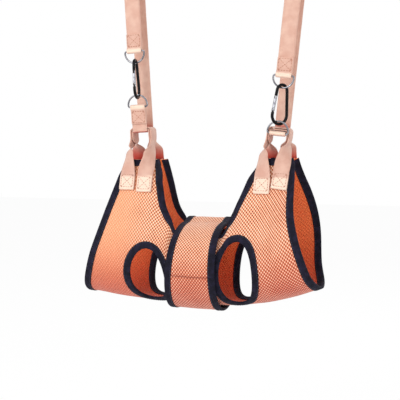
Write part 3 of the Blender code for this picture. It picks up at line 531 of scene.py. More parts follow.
def makeCamera():
    turn, tilt = math.radians(cameraView["azimuth"]), math.radians(cameraView["elevation"])
    back = Vector((math.sin(turn) * math.cos(tilt), -math.cos(turn) * math.cos(tilt), math.sin(tilt)))
    bpy.ops.object.camera_add(location=Vector(cameraView["target"]) + back * cameraView["distance"])
    camera = bpy.context.object
    aim(camera, cameraView["target"])
    camera.data.lens = cameraView["focal"] / cameraView["picture"] * camera.data.sensor_width
    camera.data.clip_start, camera.data.clip_end = cameraView["clip"]
    bpy.context.scene.camera = camera


def seenBy(flow, *kinds):
    return sum(flow.node("ShaderNodeLightPath", out="Is " + kind + " Ray") for kind in kinds)


def makeLamps():
    for name, lamp in lamps.items():
        bpy.ops.object.light_add(type="AREA", location=lamp["place"])
        light = bpy.context.object
        light.name, light.data.size, light.data.energy = name + "Lamp", lamp["size"], lamp["power"]
        aim(light, cameraView["target"])
    world = bpy.data.worlds.new("studio")
    bpy.context.scene.world = world
    world.use_nodes = True
    world.node_tree.nodes.clear()
    flow = Flow(world.node_tree)
    seen = flow.sum("MINIMUM", seenBy(flow, "Camera", "Glossy", "Transmission"), 1.0)
    plain = flow.node("ShaderNodeBackground", inputs={"Color": (1, 1, 1, 1), "Strength": studio["light"]})
    white = flow.node("ShaderNodeBackground", inputs={"Color": (1, 1, 1, 1), "Strength": 1.0})
    both = flow.node("ShaderNodeMixShader", inputs={0: seen, 1: plain, 2: white})
    flow.feed(flow.tree.nodes.new("ShaderNodeOutputWorld").inputs["Surface"], both)


def makeFloor():
    bpy.ops.mesh.primitive_plane_add(size=studio["floorSize"], location=(0, 0, studio["floorDrop"]))
    floor = bpy.context.object
    floor.name = "floor"
    finish, flow, shader, flat, where = newFinish("paleFloor", 0.9)
    shade = studio["floorShade"]
    shader.inputs["Base Color"].default_value = (shade, shade, shade, 1.0)
    seen = seenBy(flow, "Camera", "Glossy") * studio["floorGlow"]
    glow = flow.node("ShaderNodeEmission", inputs={"Color": (1, 1, 1, 1), "Strength": 1.0})
    both = flow.node("ShaderNodeMixShader", inputs={0: seen, 1: Flow(flow.tree, shader.outputs[0]), 2: glow})
    flow.feed(flow.tree.nodes["Material Output"].inputs["Surface"], both)
    floor.data.materials.append(finish)


makeCamera()
makeLamps()
makeFloor()
bpy.context.scene.view_settings.view_transform = "Standard"
print("camera, lamps and floor placed")

# Modelling helpers


def activate(obj):
    bpy.ops.object.select_all(action="DESELECT")
    obj.select_set(True)
    bpy.context.view_layer.objects.active = obj


def newObject(name, data):
    obj = bpy.data.objects.new(name, data)
    bpy.context.scene.collection.objects.link(obj)
    activate(obj)
    return obj


def newMesh(name, points, faces):
    mesh = bpy.data.meshes.new(name)
    mesh.from_pydata(points, [], faces)
    return newObject(name, mesh)


def edited(operation, **settings):
    # one mesh operation over the whole of the active piece
    bpy.ops.object.mode_set(mode="EDIT")
    bpy.ops.mesh.select_all(action="SELECT")
    operation(**settings)
    bpy.ops.object.mode_set(mode="OBJECT")


def shaped(obj, kind, **settings):
    # one modifier, applied
    activate(obj)
    change = obj.modifiers.new(kind.lower(), kind)
    for key, value in settings.items():
        setattr(change, key, value)
    bpy.ops.object.modifier_apply(modifier=change.name)


def ready(obj, finish, bodyName="sling", degrees=45, extra=False):
    # a finished piece gets its material, shading and body, and stands for the node of its name
    material, slot = finishes[finish]
    if not obj.data.materials:
        obj.data.materials.append(material)
    activate(obj)
    bpy.ops.object.shade_smooth_by_angle(angle=math.radians(degrees))
    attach(obj, bodyName)
    if not extra:
        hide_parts("".join("_" + letter.lower() if letter.isupper() else letter for letter in obj.name))
    return obj


def loft(name, rings, closed):
    # joins equal rings of points into one skin, with a map in metres: round it, and along it
    bm = bmesh.new()
    uvs = bm.loops.layers.uv.new("cut")
    skin = [[bm.verts.new(p) for p in loop] for loop in rings]
    along = runLengths([sum(loop, Vector((0, 0, 0))) / len(loop) for loop in rings + rings[:1]])
    around = runLengths(rings[0] + rings[0][:1])
    count = len(rings[0])
    for i in range(len(rings) if closed else len(rings) - 1):
        first, second = skin[i], skin[(i + 1) % len(skin)]
        for k in range(count):
            n = (k + 1) % count
            face = bm.faces.new((first[k], first[n], second[n], second[k]))
            for corner, (u, v) in zip(face.loops, ((k, i), (k + 1, i), (k + 1, i + 1), (k, i + 1))):
                corner[uvs].uv = (around[u], along[v])
    if not closed:
        bm.faces.new(list(reversed(skin[0])))
        bm.faces.new(skin[-1])
    bmesh.ops.recalc_face_normals(bm, faces=bm.faces)
    mesh = bpy.data.meshes.new(name)
    bm.to_mesh(mesh)
    bm.free()
    return newObject(name, mesh)


def wireAlong(name, points, diameter, resolution, place=Matrix.Identity(4), cyclic=False):
    # a round wire: a curve with a bevel, made a mesh, its caps welded
    curve = bpy.data.curves.new(name, "CURVE")
    curve.dimensions, curve.use_fill_caps = "3D", True
    curve.bevel_depth, curve.bevel_resolution = diameter / 2, resolution
    spline = curve.splines.new("POLY")
    spline.points.add(len(points) - 1)
    for point, at in zip(spline.points, points):
        point.co = (*(place @ Vector(at)), 1.0)
    spline.use_cyclic_u = cyclic
    newObject(name, curve)
    bpy.ops.object.convert(target="MESH")
    edited(bpy.ops.mesh.remove_doubles, threshold=0.00001)
    edited(bpy.ops.mesh.normals_make_consistent, inside=False)
    return bpy.context.view_layer.objects.active


# Stitches: each is a short thread that dips into the cloth at both ends

thread = {
    "length": 0.0030, "gap": 0.0008, "radius": 0.00026, "bold": 0.00038, "sides": 5, "reach": 0.0003,
    "shape": ((0.0, -0.9, 0.55), (0.2, 0.25, 0.95), (0.8, 0.25, 0.95), (1.0, -0.9, 0.55)),
}
threads = {}


def sew(name, row, radius=thread["radius"]):
    # row holds (point, normal) pairs; the shape's rows are place along, lift and thickness
    points, faces = threads.setdefault(name, ([], []))
    path, normals = [p for p, n in row], [n for p, n in row]
    lengths = runLengths(path)
    count = int(lengths[-1] / (thread["length"] + thread["gap"]))
    sides, reach = thread["sides"], thread["reach"]
    for k in range(count):
        pitch = lengths[-1] / count
        start, stop = k * pitch + thread["gap"] / 2, (k + 1) * pitch - thread["gap"] / 2
        first = len(points)
        for u, lift, thick in thread["shape"]:
            at = mix(start, stop, u)
            ahead, behind = min(at + reach, lengths[-1]), max(at - reach, 0.0)
            heading = pointAt(path, lengths, ahead) - pointAt(path, lengths, behind)
            normal = pointAt(normals, lengths, at).normalized()
            side, middle = heading.cross(normal).normalized(), pointAt(path, lengths, at)
            for j in range(sides):
                angle = 2 * math.pi * j / sides
                off = normal * (lift + thick * math.cos(angle)) + side * thick * math.sin(angle)
                points.append(middle + off * radius)
        for i in range(len(thread["shape"]) - 1):
            for j in range(sides):
                a, b = first + i * sides + j, first + i * sides + (j + 1) % sides
                faces.append((a, b, b + sides, a + sides))
        faces.append(tuple(first + j for j in reversed(range(sides))))
        faces.append(tuple(len(points) - sides + j for j in range(sides)))


def finishThreads(name, finish):
    obj = newMesh(name, *threads[name])
    edited(bpy.ops.mesh.normals_make_consistent, inside=False)
    ready(obj, finish, degrees=80, extra=True)


# The sling and its edge tapes

sling = {
    "rearEdge": ((-0.142, 0.262), (-0.161, 0.198), (-0.177, 0.141), (-0.192, 0.087), (-0.206, 0.042),
                 (-0.211, 0.0)),
    "frontEdge": ((0.134, 0.255), (0.144, 0.200), (0.153, 0.140), (0.164, 0.072), (0.174, 0.030),
                  (0.178, 0.0)),
    "sideEdge": ((-0.084, 0.269), (-0.076, 0.230), (-0.068, 0.196), (-0.050, 0.172), (-0.020, 0.166),
                 (0.014, 0.166), (0.032, 0.173), (0.049, 0.202), (0.064, 0.234), (0.077, 0.270)),
    "rearHole": (-0.090, 0.075, 0.030, 0.050), "frontHole": (0.054, 0.084, 0.027, 0.058),
    "thickness": 0.0024, "cell": 0.0042, "edgeClear": 0.55, "topTapeInset": 0.013, "topTapeStep": 0.00224,
}
tape = {
    "width": 0.0100, "thickness": 0.0008, "seat": 0.0002, "cadSeat": 0.0008, "crown": 0.00016,
    "step": 0.0032, "pucker": 0.00014, "puckerScale": 0.9, "stitchInset": 0.0017,
    "roundOver": 0.0001, "roundIn": 0.0004,
}
clothHalf = sling["thickness"] / 2
tapeHalf = clothHalf + tape["seat"] + tape["thickness"]
cadTapeHalf = clothHalf + tape["cadSeat"] + tape["thickness"]


def inside(points, rim):
    x, y = points[:, 0], points[:, 1]
    found = np.zeros(len(points), bool)
    for a, b in zip(rim, rim[1:] + rim[:1]):
        if a.y != b.y:
            crossed = (a.y > y) != (b.y > y)
            found ^= crossed & (x < a.x + (y - a.y) * (b.x - a.x) / (b.y - a.y))
    return found


def cutSheet(name, outline, place, cell, holes=(), thickness=sling["thickness"], skins=("mesh", "meshInside")):
    # a sheet cut flat to its outline and holes, filled with even triangles, then hung by place(s, t)
    points, edges = [], []
    for rim in (outline, *holes):
        start = len(points)
        edges += [(start + k, start + (k + 1) % len(rim)) for k in range(len(rim))]
        points += rim
    tree = kdtree.KDTree(len(points))
    for i, p in enumerate(points):
        tree.insert((p.x, p.y, 0), i)
    tree.balance()
    low = Vector((min(p.x for p in outline), min(p.y for p in outline)))
    high = Vector((max(p.x for p in outline), max(p.y for p in outline)))
    rowStep = cell * math.sqrt(3) / 2
    grid = []
    for row in range(int((high.y - low.y) / rowStep) + 1):
        for column in range(int((high.x - low.x) / cell) + 1):
            grid.append((low.x + (column + 0.5 * (row % 2)) * cell, low.y + row * rowStep))

    def onCloth(spots):
        spots = np.array(spots)
        kept = inside(spots, outline)
        for hole in holes:
            kept &= ~inside(spots, hole)
        return kept

    for (x, y), good in zip(grid, onCloth(grid)):
        if good and tree.find((x, y, 0))[2] > cell * sling["edgeClear"]:
            points.append(Vector((x, y)))
    flat, triangles = delaunay_2d_cdt(points, edges, [], 0, 1e-7)[:3:2]
    middles = [sum((flat[i] for i in corners), Vector((0, 0))) / 3 for corners in triangles]
    faces = [tuple(reversed(corners)) for corners, good in zip(triangles, onCloth(middles)) if good]
    area = sum(abs((flat[b] - flat[a]).cross(flat[c] - flat[a])) / 2 for a, b, c in faces)
    obj = newMesh(name, [place(p.x, p.y) for p in flat], faces)
    uvs = obj.data.uv_layers.new(name="cut")
    for loop in obj.data.loops:
        uvs.data[loop.index].uv = flat[loop.vertex_index]
    edited(bpy.ops.mesh.delete_loose)
    for skin in skins:
        obj.data.materials.append(finishes[skin][0])
    shaped(obj, "SOLIDIFY", thickness=thickness, offset=0.0, material_offset=1)
    return ready(obj, skins[0]), {"flat": (high.x - low.x, high.y - low.y), "area": area}


def tapeProfile():
    # the folded tape's section: inwards from the cloth's edge, and off its middle
    width, crowned = tape["width"], tapeHalf + tape["crown"]
    inner, out = tapeHalf - tape["thickness"], -tape["seat"] - tape["thickness"]
    lip = [(width + tape["roundOver"], (inner + tapeHalf) / 2), (width - tape["roundIn"], tapeHalf)]
    top = [(width, inner), *lip, (width * 0.70, crowned), (width * 0.35, crowned), (width * 0.08, tapeHalf),
           (out * 0.60, tapeHalf * 0.70)]
    under = [(width * 0.33, inner), (width * 0.67, inner)]
    seat = [(-tape["seat"], -inner), (-tape["seat"], inner)]
    flip = [[(reach, -height) for reach, height in reversed(row)] for row in (top, under)]
    return top + [(out, 0.0)] + flip[0] + flip[1] + seat + under


def level(t):
    return 0.0


def edgeTape(name, path, inwards, closed=False, wrapped=False, lift=level, seed=0.0):
    # folded tape along a flat path of the cloth, with a row of stitches on each face
    rings, rows = [], ([], [])
    count = len(path)
    for i, point in enumerate(path):
        before = path[i - 1] if closed or i > 0 else point
        after = path[(i + 1) % count] if closed or i + 1 < count else point
        heading = (after - before).normalized()
        inward = Vector((-heading.y, heading.x)) * inwards
        pucker = tape["pucker"] * noise.noise(Vector((i * tape["puckerScale"], seed, 0.5)))
        rings.append([])
        for reach, height in tapeProfile():
            flat = point + inward * reach
            swell = math.copysign(pucker, height) if abs(height) > clothHalf else 0.0
            rings[-1].append(drape(flat.x, flat.y, height + swell + lift(flat.y), wrapped))
        sewn = point + inward * (tape["width"] - tape["stitchInset"])
        for row, side in zip(rows, (1, -1)):
            on = drape(sewn.x, sewn.y, lift(sewn.y) + side * (tapeHalf + tape["crown"]), wrapped)
            row.append((on, (on - drape(sewn.x, sewn.y, lift(sewn.y), wrapped)).normalized()))
    for row in rows:
        sew("tapeStitches", row + row[:1] if closed else row)
    return ready(loft(name, rings, closed), "tape")


def makeSling():
    step = tape["step"]
    ends = {}
    for end in ("rear", "front"):
        far = curveThrough(sling[end + "Edge"][::-1])
        ends[end] = evenly(mirrored(far)[:-1] + far, step)
    rear, front = ends["rear"], ends["front"]
    farSide = evenly(curveThrough(sling["sideEdge"]), step)
    nearSide = mirrored(farSide)
    outline = []
    edges = (rear, farSide, front[::-1], nearSide)
    for edge, after in zip(edges, edges[1:] + edges[:1]):
        outline += edge + evenly([edge[-1], after[0]], step)[1:-1]
    tapes = [("rearEndTape", rear, -1, False), ("frontEndTape", front, 1, False),
             ("farSideTape", farSide, -1, False), ("nearSideTape", nearSide, -1, False)]
    for end in ("rear", "front"):
        for side, way in (("Near", -1), ("Far", 1)):
            s, t, halfS, halfT = sling[end + "Hole"]
            turn = arc((s, way * t), halfS, way * halfT, 0, 357, 119)
            tapes.append((end + side + "LegTape", evenly(turn, step, True), -way, True))
    holes = [path for name, path, inwards, closed in tapes if closed]
    cloth, cut = cutSheet("slingMesh", outline, drape, sling["cell"], holes)
    for end, outer, inner in (("rear", rear[-1], farSide[0]), ("front", farSide[-1], front[-1])):
        inset = (inner - outer).normalized() * sling["topTapeInset"]
        path = evenly([outer + inset, inner - inset], sling["topTapeStep"])
        tapes.append((end + "FarTopTape", path, -1, False))
        tapes.append((end + "NearTopTape", [Vector((p.x, -p.y)) for p in path], 1, False))
    made = [edgeTape(*row, seed=number * 3.1) for number, row in enumerate(tapes)]


# The belly band: a panel under the belly and two flaps that lap over the back

band = {
    "bellyWidth": 0.086, "topWidth": 0.073, "bellyX": -0.022, "topX": -0.011, "taperGirth": 0.200,
    "seamGirth": 0.100, "farEnd": 0.212, "nearLap": 0.060, "corner": 0.012, "lapRamp": 0.030,
    "lapLead": 0.004, "gap": 0.0026, "seamGap": 0.0003, "cell": 0.0040, "patchCell": 0.004,
    "patchThickness": 0.0012, "patchGap": 0.0005, "patchLength": 0.038, "patchWidth": 0.044,
    "seamStitch": 0.0026, "seamStep": 0.003, "seamLift": 0.0001, "welt": 0.0015,
}
bandOffset = 2 * cadTapeHalf + band["gap"]
bandGirth = girthTable(band["topX"], bandOffset)[-1]
patchStack = sling["thickness"] + 2 * band["patchThickness"] + 3 * band["patchGap"]
lapStep = max(patchStack, bandOffset + band["seamGap"])


def bandEdges(girth):
    taper = ramp(girth, 0.0, band["taperGirth"])
    half = mix(band["bellyWidth"], band["topWidth"], taper) / 2
    middle = mix(band["bellyX"], band["topX"], taper)
    return middle - half, middle + half


def lapLift(t):
    # the near flap rises over the end of the far one
    rampEnd = bandGirth - band["farEnd"] - tape["cadSeat"] - tape["thickness"] - band["lapLead"]
    return lapStep * ramp(-t, rampEnd - band["lapRamp"], rampEnd)


def onBand(lift):
    return lambda s, t: drape(s, t, lift(t), True)


def closing(start, stop):
    return [start.lerp(stop, k / 8) for k in range(1, 8)]


def flapPath(start, stop, side):
    corner = band["corner"]
    rear, front = [], []
    for girth in spaced(start, stop - corner, tape["step"]):
        low, high = bandEdges(girth)
        rear.append(Vector((low, side * girth)))
        front.append(Vector((high, side * girth)))
    low, high = bandEdges(stop)
    turn = side * (stop - corner)
    rear += arc((low + corner, turn), -corner, side * corner, 10, 90, 8)
    front += arc((high - corner, turn), corner, side * corner, 10, 90, 8)
    return evenly(rear + front[::-1], tape["step"])


def makePatches(panels):
    middle = band["farEnd"] - band["nearLap"] / 2
    centre = sum(bandEdges(middle)) / 2
    x, y = band["patchWidth"] / 2, band["patchLength"] / 2
    corners = [Vector((centre + a * x, middle + b * y)) for a, b in ((-1, -1), (1, -1), (1, 1), (-1, 1))]
    rise = clothHalf + band["patchGap"] + band["patchThickness"] / 2
    cell = band["patchCell"]
    patches = (("loopPatch", rise, "bandFarFlap"), ("hookPatch", lapStep - rise, "bandNearFlap"))
    for name, lift, flap in patches:
        patch, cut = cutSheet(name, evenly(corners, cell, True), onBand(lambda t: lift), cell,
                              thickness=band["patchThickness"], skins=("patch", "patch"))
        panels[flap][2].append(patch)


def sewSeams():
    # the cross seams: a welt between two rows of stitches
    low, high = bandEdges(band["seamGirth"])
    for side, name in ((-1, "bandNearSeam"), (1, "bandFarSeam")):
        for offset in (-band["seamStitch"], 0.0, band["seamStitch"]):
            t = side * (band["seamGirth"] + offset)
            row = []
            for s in spaced(low + tape["width"], high - tape["width"], band["seamStep"]):
                on = drape(s, t, clothHalf + band["seamLift"], True)
                row.append((on, (on - drape(s, t, 0.0, True)).normalized()))
            if offset:
                sew("bandStitches", row)
            else:
                welt = wireAlong(name, [point for point, normal in row], band["welt"], 2)
                ready(welt, "weltThread", extra=True)


def makeBand():
    seam = band["seamGirth"]
    nearEnd = bandGirth - band["farEnd"] + band["nearLap"]
    panels = {}
    flaps = (("bandNearFlap", nearEnd, -1, lapLift), ("bandFarFlap", band["farEnd"], 1, level))
    for name, end, side, lift in flaps:
        path = flapPath(seam + band["seamGap"], end, side)
        cloth, cut = cutSheet(name, path + closing(path[-1], path[0]), onBand(lift), band["cell"])
        taped = edgeTape(name + "Tape", path, -side, wrapped=True, lift=lift, seed=41.0 + side)
        panels[name] = cloth, cut, [taped]
    girths = spaced(-seam, seam, tape["step"])
    rear, front = ([Vector((bandEdges(abs(t))[edge], t)) for t in girths] for edge in (0, 1))
    outline = rear + closing(rear[-1], front[-1]) + front[::-1] + closing(front[0], rear[0])
    belly, cut = cutSheet("bandBellyPanel", outline, onBand(level), band["cell"])
    made = [edgeTape("bandBellyRearTape", rear, -1, wrapped=True, seed=50.0),
            edgeTape("bandBellyFrontTape", front, 1, wrapped=True, seed=50.0)]
    makePatches(panels)
    for name, under in (("bandNearFlap", ["slingMesh", "bandFarFlap"]), ("bandFarFlap", ["slingMesh"])):
        cloth, cut, pieces = panels[name]
    sewSeams()


# Hanging straps, D-rings and snap hooks. A strap's frame has its foot at the handles and z up
# along it; a path in it is (y, z).

webbing = {
    "width": 0.0250, "thickness": 0.0020, "sideGap": 0.0004, "layerGap": 0.0003,
    "crown": 0.00012, "round": 0.0005,
}
strap = {
    "spacing": 0.268, "drop": 0.237, "rearFootX": -0.119, "frontFootX": 0.109, "tail": 0.027,
    "ease": 0.008, "corner": 0.0022, "rearLowerBar": 0.039, "step": 0.004,
    "wave": 0.00018, "waveScale": 0.21, "waveSeed": 50,
    "boxSeat": 0.0165, "boxWidth": 0.0205, "boxHeight": 0.0180, "rowHalf": 0.0105, "rowSeat": 0.0098,
    # the keys after stitchLift set the straps' painted highlight at the bars and painted shade low in the loop
    # and under the foot
    "stitchLift": 0.0001, "highlightFrom": (0.0012, 0.0032), "shadeDepth": 0.004, "shadeHeight": 0.022,
    "underShadeHeight": (-0.0005, 0.0025), "pale": 0.8, "glow": 0.75, "under": 0.8,
}
ring = {"wire": 0.0028, "width": 0.0325, "height": 0.0190, "corner": 0.0030}
hook = {
    "wire": 0.0048, "length": 0.0650, "topRadius": 0.0095, "footRadius": 0.01375, "play": 0.0007,
    "rearTurn": 96.5, "frontTurn": 50.0, "nose": 0.0090, "hinge": 0.0050, "gate": 0.0046,
    "rim": 0.0004, "rimAngle": 50, "tongueEdge": 0.22,
    "tongue": 0.0018, "tongueLength": 0.0040, "pin": 0.0016, "clear": 0.0003, "pinClear": 0.00015,
}
halfThick = webbing["thickness"] / 2
runY = webbing["width"] / 2 + webbing["sideGap"] + halfThick
layer = webbing["thickness"] + webbing["layerGap"]
foldRadius = ring["wire"] / 2 + webbing["layerGap"] + halfThick
chainY = -runY - foldRadius
hookReach = hook["length"] - hook["wire"]
ringGrip = (hook["wire"] + ring["wire"]) / 2 + hook["play"]


def webbingLoft(name, strip):
    # strip holds (middle, width direction) pairs along the webbing
    half = webbing["width"] / 2
    flat = half - webbing["round"]
    top = []
    for k in range(7):
        crown = webbing["crown"] * math.sin(math.pi * k / 6)
        top.append(Vector((mix(-flat, flat, k / 6), halfThick + crown)))
    edge = [Vector((half, halfThick * 0.4)), Vector((half, -halfThick * 0.4))]
    profile = top + edge + mirrored(top) + [-p for p in edge]
    rings = []
    for i, (middle, across) in enumerate(strip):
        heading = strip[min(i + 1, len(strip) - 1)][0] - strip[max(i - 1, 0)][0]
        normal = heading.normalized().cross(across).normalized()
        rings.append([middle + across * x + normal * z for x, z in profile])
    return ready(loft(name, rings, False), "webbing", degrees=60)


def strapFrame(footX, topX):
    foot = Vector((footX, 0, -strap["drop"]))
    up = (Vector((topX, 0, 0)) - foot).normalized()
    made = Matrix((Vector((up.z, 0, -up.x)), (0, 1, 0), up)).transposed().to_4x4()
    made.translation = foot
    return made


def foldOver(bar, along, side):
    # the webbing's end: down beside its run, then round the ring's bar
    tail = foldRadius - layer
    ease = strap["ease"]
    points = [bar + along * strap["tail"] + side * tail, bar + along * ease + side * tail]
    for k in range(1, 8):
        points.append(bar + along * ease * (1 - k / 8) + side * mix(tail, -foldRadius, ramp(k, 0, 8)))
    for k in range(17):
        angle = math.pi * k / 16
        points.append(bar - side * foldRadius * math.cos(angle) - along * foldRadius * math.sin(angle))
    return points


def strapPath(height, lowerBar, lowerAlong, lowerSide, upperBar):
    corner = strap["corner"]
    cornerY, cornerZ = runY - corner, corner - halfThick
    path = foldOver(lowerBar, lowerAlong, lowerSide)
    if lowerAlong.y < 0:
        path += arc((-cornerY, cornerZ), corner, corner, 180, 270, 8)
    path += arc((cornerY, cornerZ), corner, corner, -90, 0, 8)
    path += arc((0.0, height + halfThick - runY), runY, runY, 0, 180, 32)
    path += foldOver(upperBar, Vector((0, 1)), Vector((1, 0)))[::-1]
    fine = []
    for a, b in zip(path, path[1:]):
        count = max(1, math.ceil((b - a).length / strap["step"]))
        fine += [a.lerp(b, k / count) for k in range(count)]
    return fine + [path[-1]]


def boxStitch(place, width, height):
    # a sewn box with its cross; place(x, z) gives a point and its normal
    x, z = width / 2, height / 2
    corners = [Vector(corner) for corner in ((-x, -z), (x, -z), (x, z), (-x, z))]
    for i, j in ((0, 1), (1, 2), (2, 3), (3, 0), (0, 2), (1, 3)):
        row = [place(*corners[i].lerp(corners[j], k / 8)) for k in range(9)]
        sew("webbingStitches", row, thread["bold"])


def makeRing(end, kind, place, bar, way):
    half, corner = ring["width"] / 2, ring["corner"]
    right = arc((half - corner, corner), corner, corner, -90, -15, 5)
    right += arc((0.0, corner), half, ring["height"] - corner, 0, 90, 18)
    points = [(p.x, 0.0, p.y * way) for p in right] + [(-p.x, 0.0, p.y * way) for p in right[-2::-1]]
    seat = place @ Matrix.Translation((0.0, bar.x, bar.y))
    obj = wireAlong(end + kind + "Ring", points, ring["wire"], 7, seat, True)
    ready(obj, "steel", end + "_" + kind.lower() + "_ring", 60)


def beveledBox(size, place, matrix):
    bpy.ops.mesh.primitive_cube_add(size=1.0, scale=size)
    obj = bpy.context.object
    bpy.ops.object.transform_apply(location=False, rotation=False, scale=True)
    shaped(obj, "BEVEL", width=min(size) * hook["tongueEdge"], segments=2)
    obj.data.transform(matrix @ Matrix.Translation(place))
    return obj


def combine(obj, tool, operation):
    shaped(obj, "BOOLEAN", operation=operation, object=tool)
    bpy.data.objects.remove(tool, do_unlink=True)


def makeHook(end, place):
    # bent wire from the nose over the top and round the foot to the hinge, with a tongue at each end
    top, wide, gate, clear = hook["topRadius"], hook["footRadius"], hook["gate"], hook["clear"]
    reach = hookReach - top - wide
    taper = math.asin((wide - top) / reach)
    lean = math.degrees(taper)
    foot = Vector((-wide * math.cos(taper), 0, wide * math.sin(taper)))
    up, length = Vector((math.sin(taper), 0, math.cos(taper))), reach * math.cos(taper)
    bends = arc((0.0, reach), top, top, 180 - lean, lean, 30)
    bends += arc((0.0, 0.0), wide, wide, lean, -180 - lean, 36)
    points = [foot + up * (length - hook["nose"])] + [Vector((p.x, 0, p.y)) for p in bends]
    points.append(foot + up * (hook["hinge"] - gate / 2 - clear))
    obj = wireAlong(end + "HookBody", points, hook["wire"], 8, place)
    shaped(obj, "BEVEL", width=hook["rim"], segments=2, angle_limit=math.radians(hook["rimAngle"]))
    hinge = place @ Matrix.Translation(foot + up * hook["hinge"]) @ Matrix.Rotation(taper, 4, "Y")
    high, low = hook["pin"] / 2 + 3 * clear, -gate - clear
    footTongue = beveledBox((2 * high, hook["tongue"], high - low), (0, 0, (low + high) / 2), hinge)
    combine(obj, footTongue, "UNION")
    nose, tongue = length - hook["hinge"] - hook["nose"], hook["tongueLength"]
    noseSize = (gate / 2, hook["tongue"], tongue + gate / 2)
    combine(obj, beveledBox(noseSize, (0, 0, nose + (gate / 2 - tongue) / 2), hinge), "UNION")
    radius = hook["pin"] / 2 + hook["pinClear"]
    bpy.ops.mesh.primitive_cylinder_add(vertices=24, radius=radius, depth=hook["wire"])
    hole = bpy.context.object
    hole.data.transform(hinge @ Matrix.Rotation(math.pi / 2, 4, "X"))
    combine(obj, hole, "DIFFERENCE")
    ready(obj, "black", end + "_hook", 40)


def paintStrapLight(obj, place, bars):
    # painted highlight on the front faces where the webbing bends round a ring's bar; painted shade in deep
    # orange low inside the loop and under the foot
    back = place.inverted()
    values = obj.data.attributes.new("tone", "FLOAT", "POINT")
    for vertex in obj.data.vertices:
        at, facing = back @ vertex.co, (back.to_3x3() @ vertex.normal).normalized()
        near = min(math.hypot(at.y - bar.x, at.z - bar.y) for bar in bars) - foldRadius
        front = max(0.0, -facing.y)
        # painted highlight on the front faces where the webbing rolls round a bar
        pale = strap["pale"] * (1.0 - ramp(near, *strap["highlightFrom"])) * front
        # painted shade on the back run's inner face low in the loop
        glow = ramp(at.y, 0.0, strap["shadeDepth"]) * front * (1.0 - ramp(at.z, 0.0, strap["shadeHeight"]))
        # painted shade on the downward faces at the foot
        under = max(0.0, -facing.z) * (1.0 - ramp(at.z, *strap["underShadeHeight"]))
        values.data[vertex.index].value = pale - max(glow * strap["glow"], under * strap["under"])


def makeStrap(end, side, turn):
    footX, topX = strap[end + "FootX"], side * strap["spacing"] / 2
    place = strapFrame(footX, topX)
    if end == "rear":
        lower, along, across = Vector((chainY, strap["rearLowerBar"])), Vector((0, -1)), Vector((1, 0))
    else:
        lower, along, across = Vector((chainY, -halfThick - foldRadius)), Vector((1, 0)), Vector((0, 1))
    contact = lower.y + ring["height"] - ringGrip
    upper = Vector((chainY, contact + hookReach - ringGrip + ring["height"]))
    width = (place.to_3x3() @ Vector((1, 0, 0))).normalized()
    strip = []
    for i, point in enumerate(strapPath(math.hypot(topX - footX, strap["drop"]), lower, along, across, upper)):
        wave = strap["wave"] * noise.noise(Vector((i * strap["waveScale"], footX * strap["waveSeed"], 2.2)))
        strip.append((place @ Vector((wave, point.x, point.y)), width))
    paintStrapLight(webbingLoft(end + "Strap", strip), place, (lower, upper))
    makeRing(end, "Lower", place, lower, 1)
    makeRing(end, "Upper", place, upper, -1)
    hookAt = Matrix.Translation((0.0, chainY, contact + hook["footRadius"]))
    makeHook(end, place @ hookAt @ Matrix.Rotation(math.radians(turn), 4, "Z"))
    front = -runY - layer - halfThick - strap["stitchLift"]
    normal = place.to_3x3() @ Vector((0, -1, 0))

    def onFront(x, z):
        return place @ Vector((x, front, z)), normal

    # on each tail that lies flat on its run, a box and a row near the ring
    tails = [(upper, 1), (lower, -1)] if end == "rear" else [(upper, 1)]
    for bar, way in tails:
        seat = bar.y + way * strap["boxSeat"]
        boxStitch(lambda x, z: onFront(x, seat + z), strap["boxWidth"], strap["boxHeight"])
        half = strap["rowHalf"]
        row = [onFront(mix(-half, half, k / 8), seat - way * strap["rowSeat"]) for k in range(9)]
        sew("webbingStitches", row, thread["bold"])
    return place


# Handles: a loop of webbing on each sail, its legs sewn down and twisted up to the strap's foot

handle = {
    "pitch": 0.0295, "sewn": 0.050, "sideGap": 0.0006, "play": 0.0010, "gap": 0.0012, "bend": 0.0025,
    "straight": 0.005, "rise": 0.006, "hem": 0.024, "hemHeight": 0.0023, "legHeight": 0.0045, "step": 0.003,
    "twistSteps": 34, "twistEnd": 0.84, "nearTwistEnd": 0.50, "pull": 0.45,
    "earlyTurn": (0.24, 0.50), "earlyLift": (0.0010, 0.0046), "box": 0.0195, "boxRise": 0.0022, "nudge": 0.002,
    # the keys on this line and the next set the handles' painted highlight and painted shade
    "shadeDrop": (0.048, 0.010), "highlightHeight": (-0.3085, -0.3070), "pale": 0.85, "glow": 0.9,
    "shadeGain": 1.5, "aged": 0.12,
}
handleRest = handle["play"] + halfThick
handleSpread = webbing["width"] / 2 + handle["sideGap"] + halfThick


def layAt(s, girth, height):
    # the webbing's middle and width direction where it lies on the cloth
    half = webbing["width"] / 2
    width = drape(s + half, girth, height) - drape(s - half, girth, height)
    middle = drape(s, girth, height)
    along = (drape(s, girth + handle["nudge"], height) - middle).normalized()
    return middle, (width - along * width.dot(along)).normalized()


def turned(width, target, angle):
    # the width direction, brought towards the target to this angle
    flat = (width - target * width.dot(target)).normalized()
    return flat * math.cos(angle) + target * math.sin(angle)


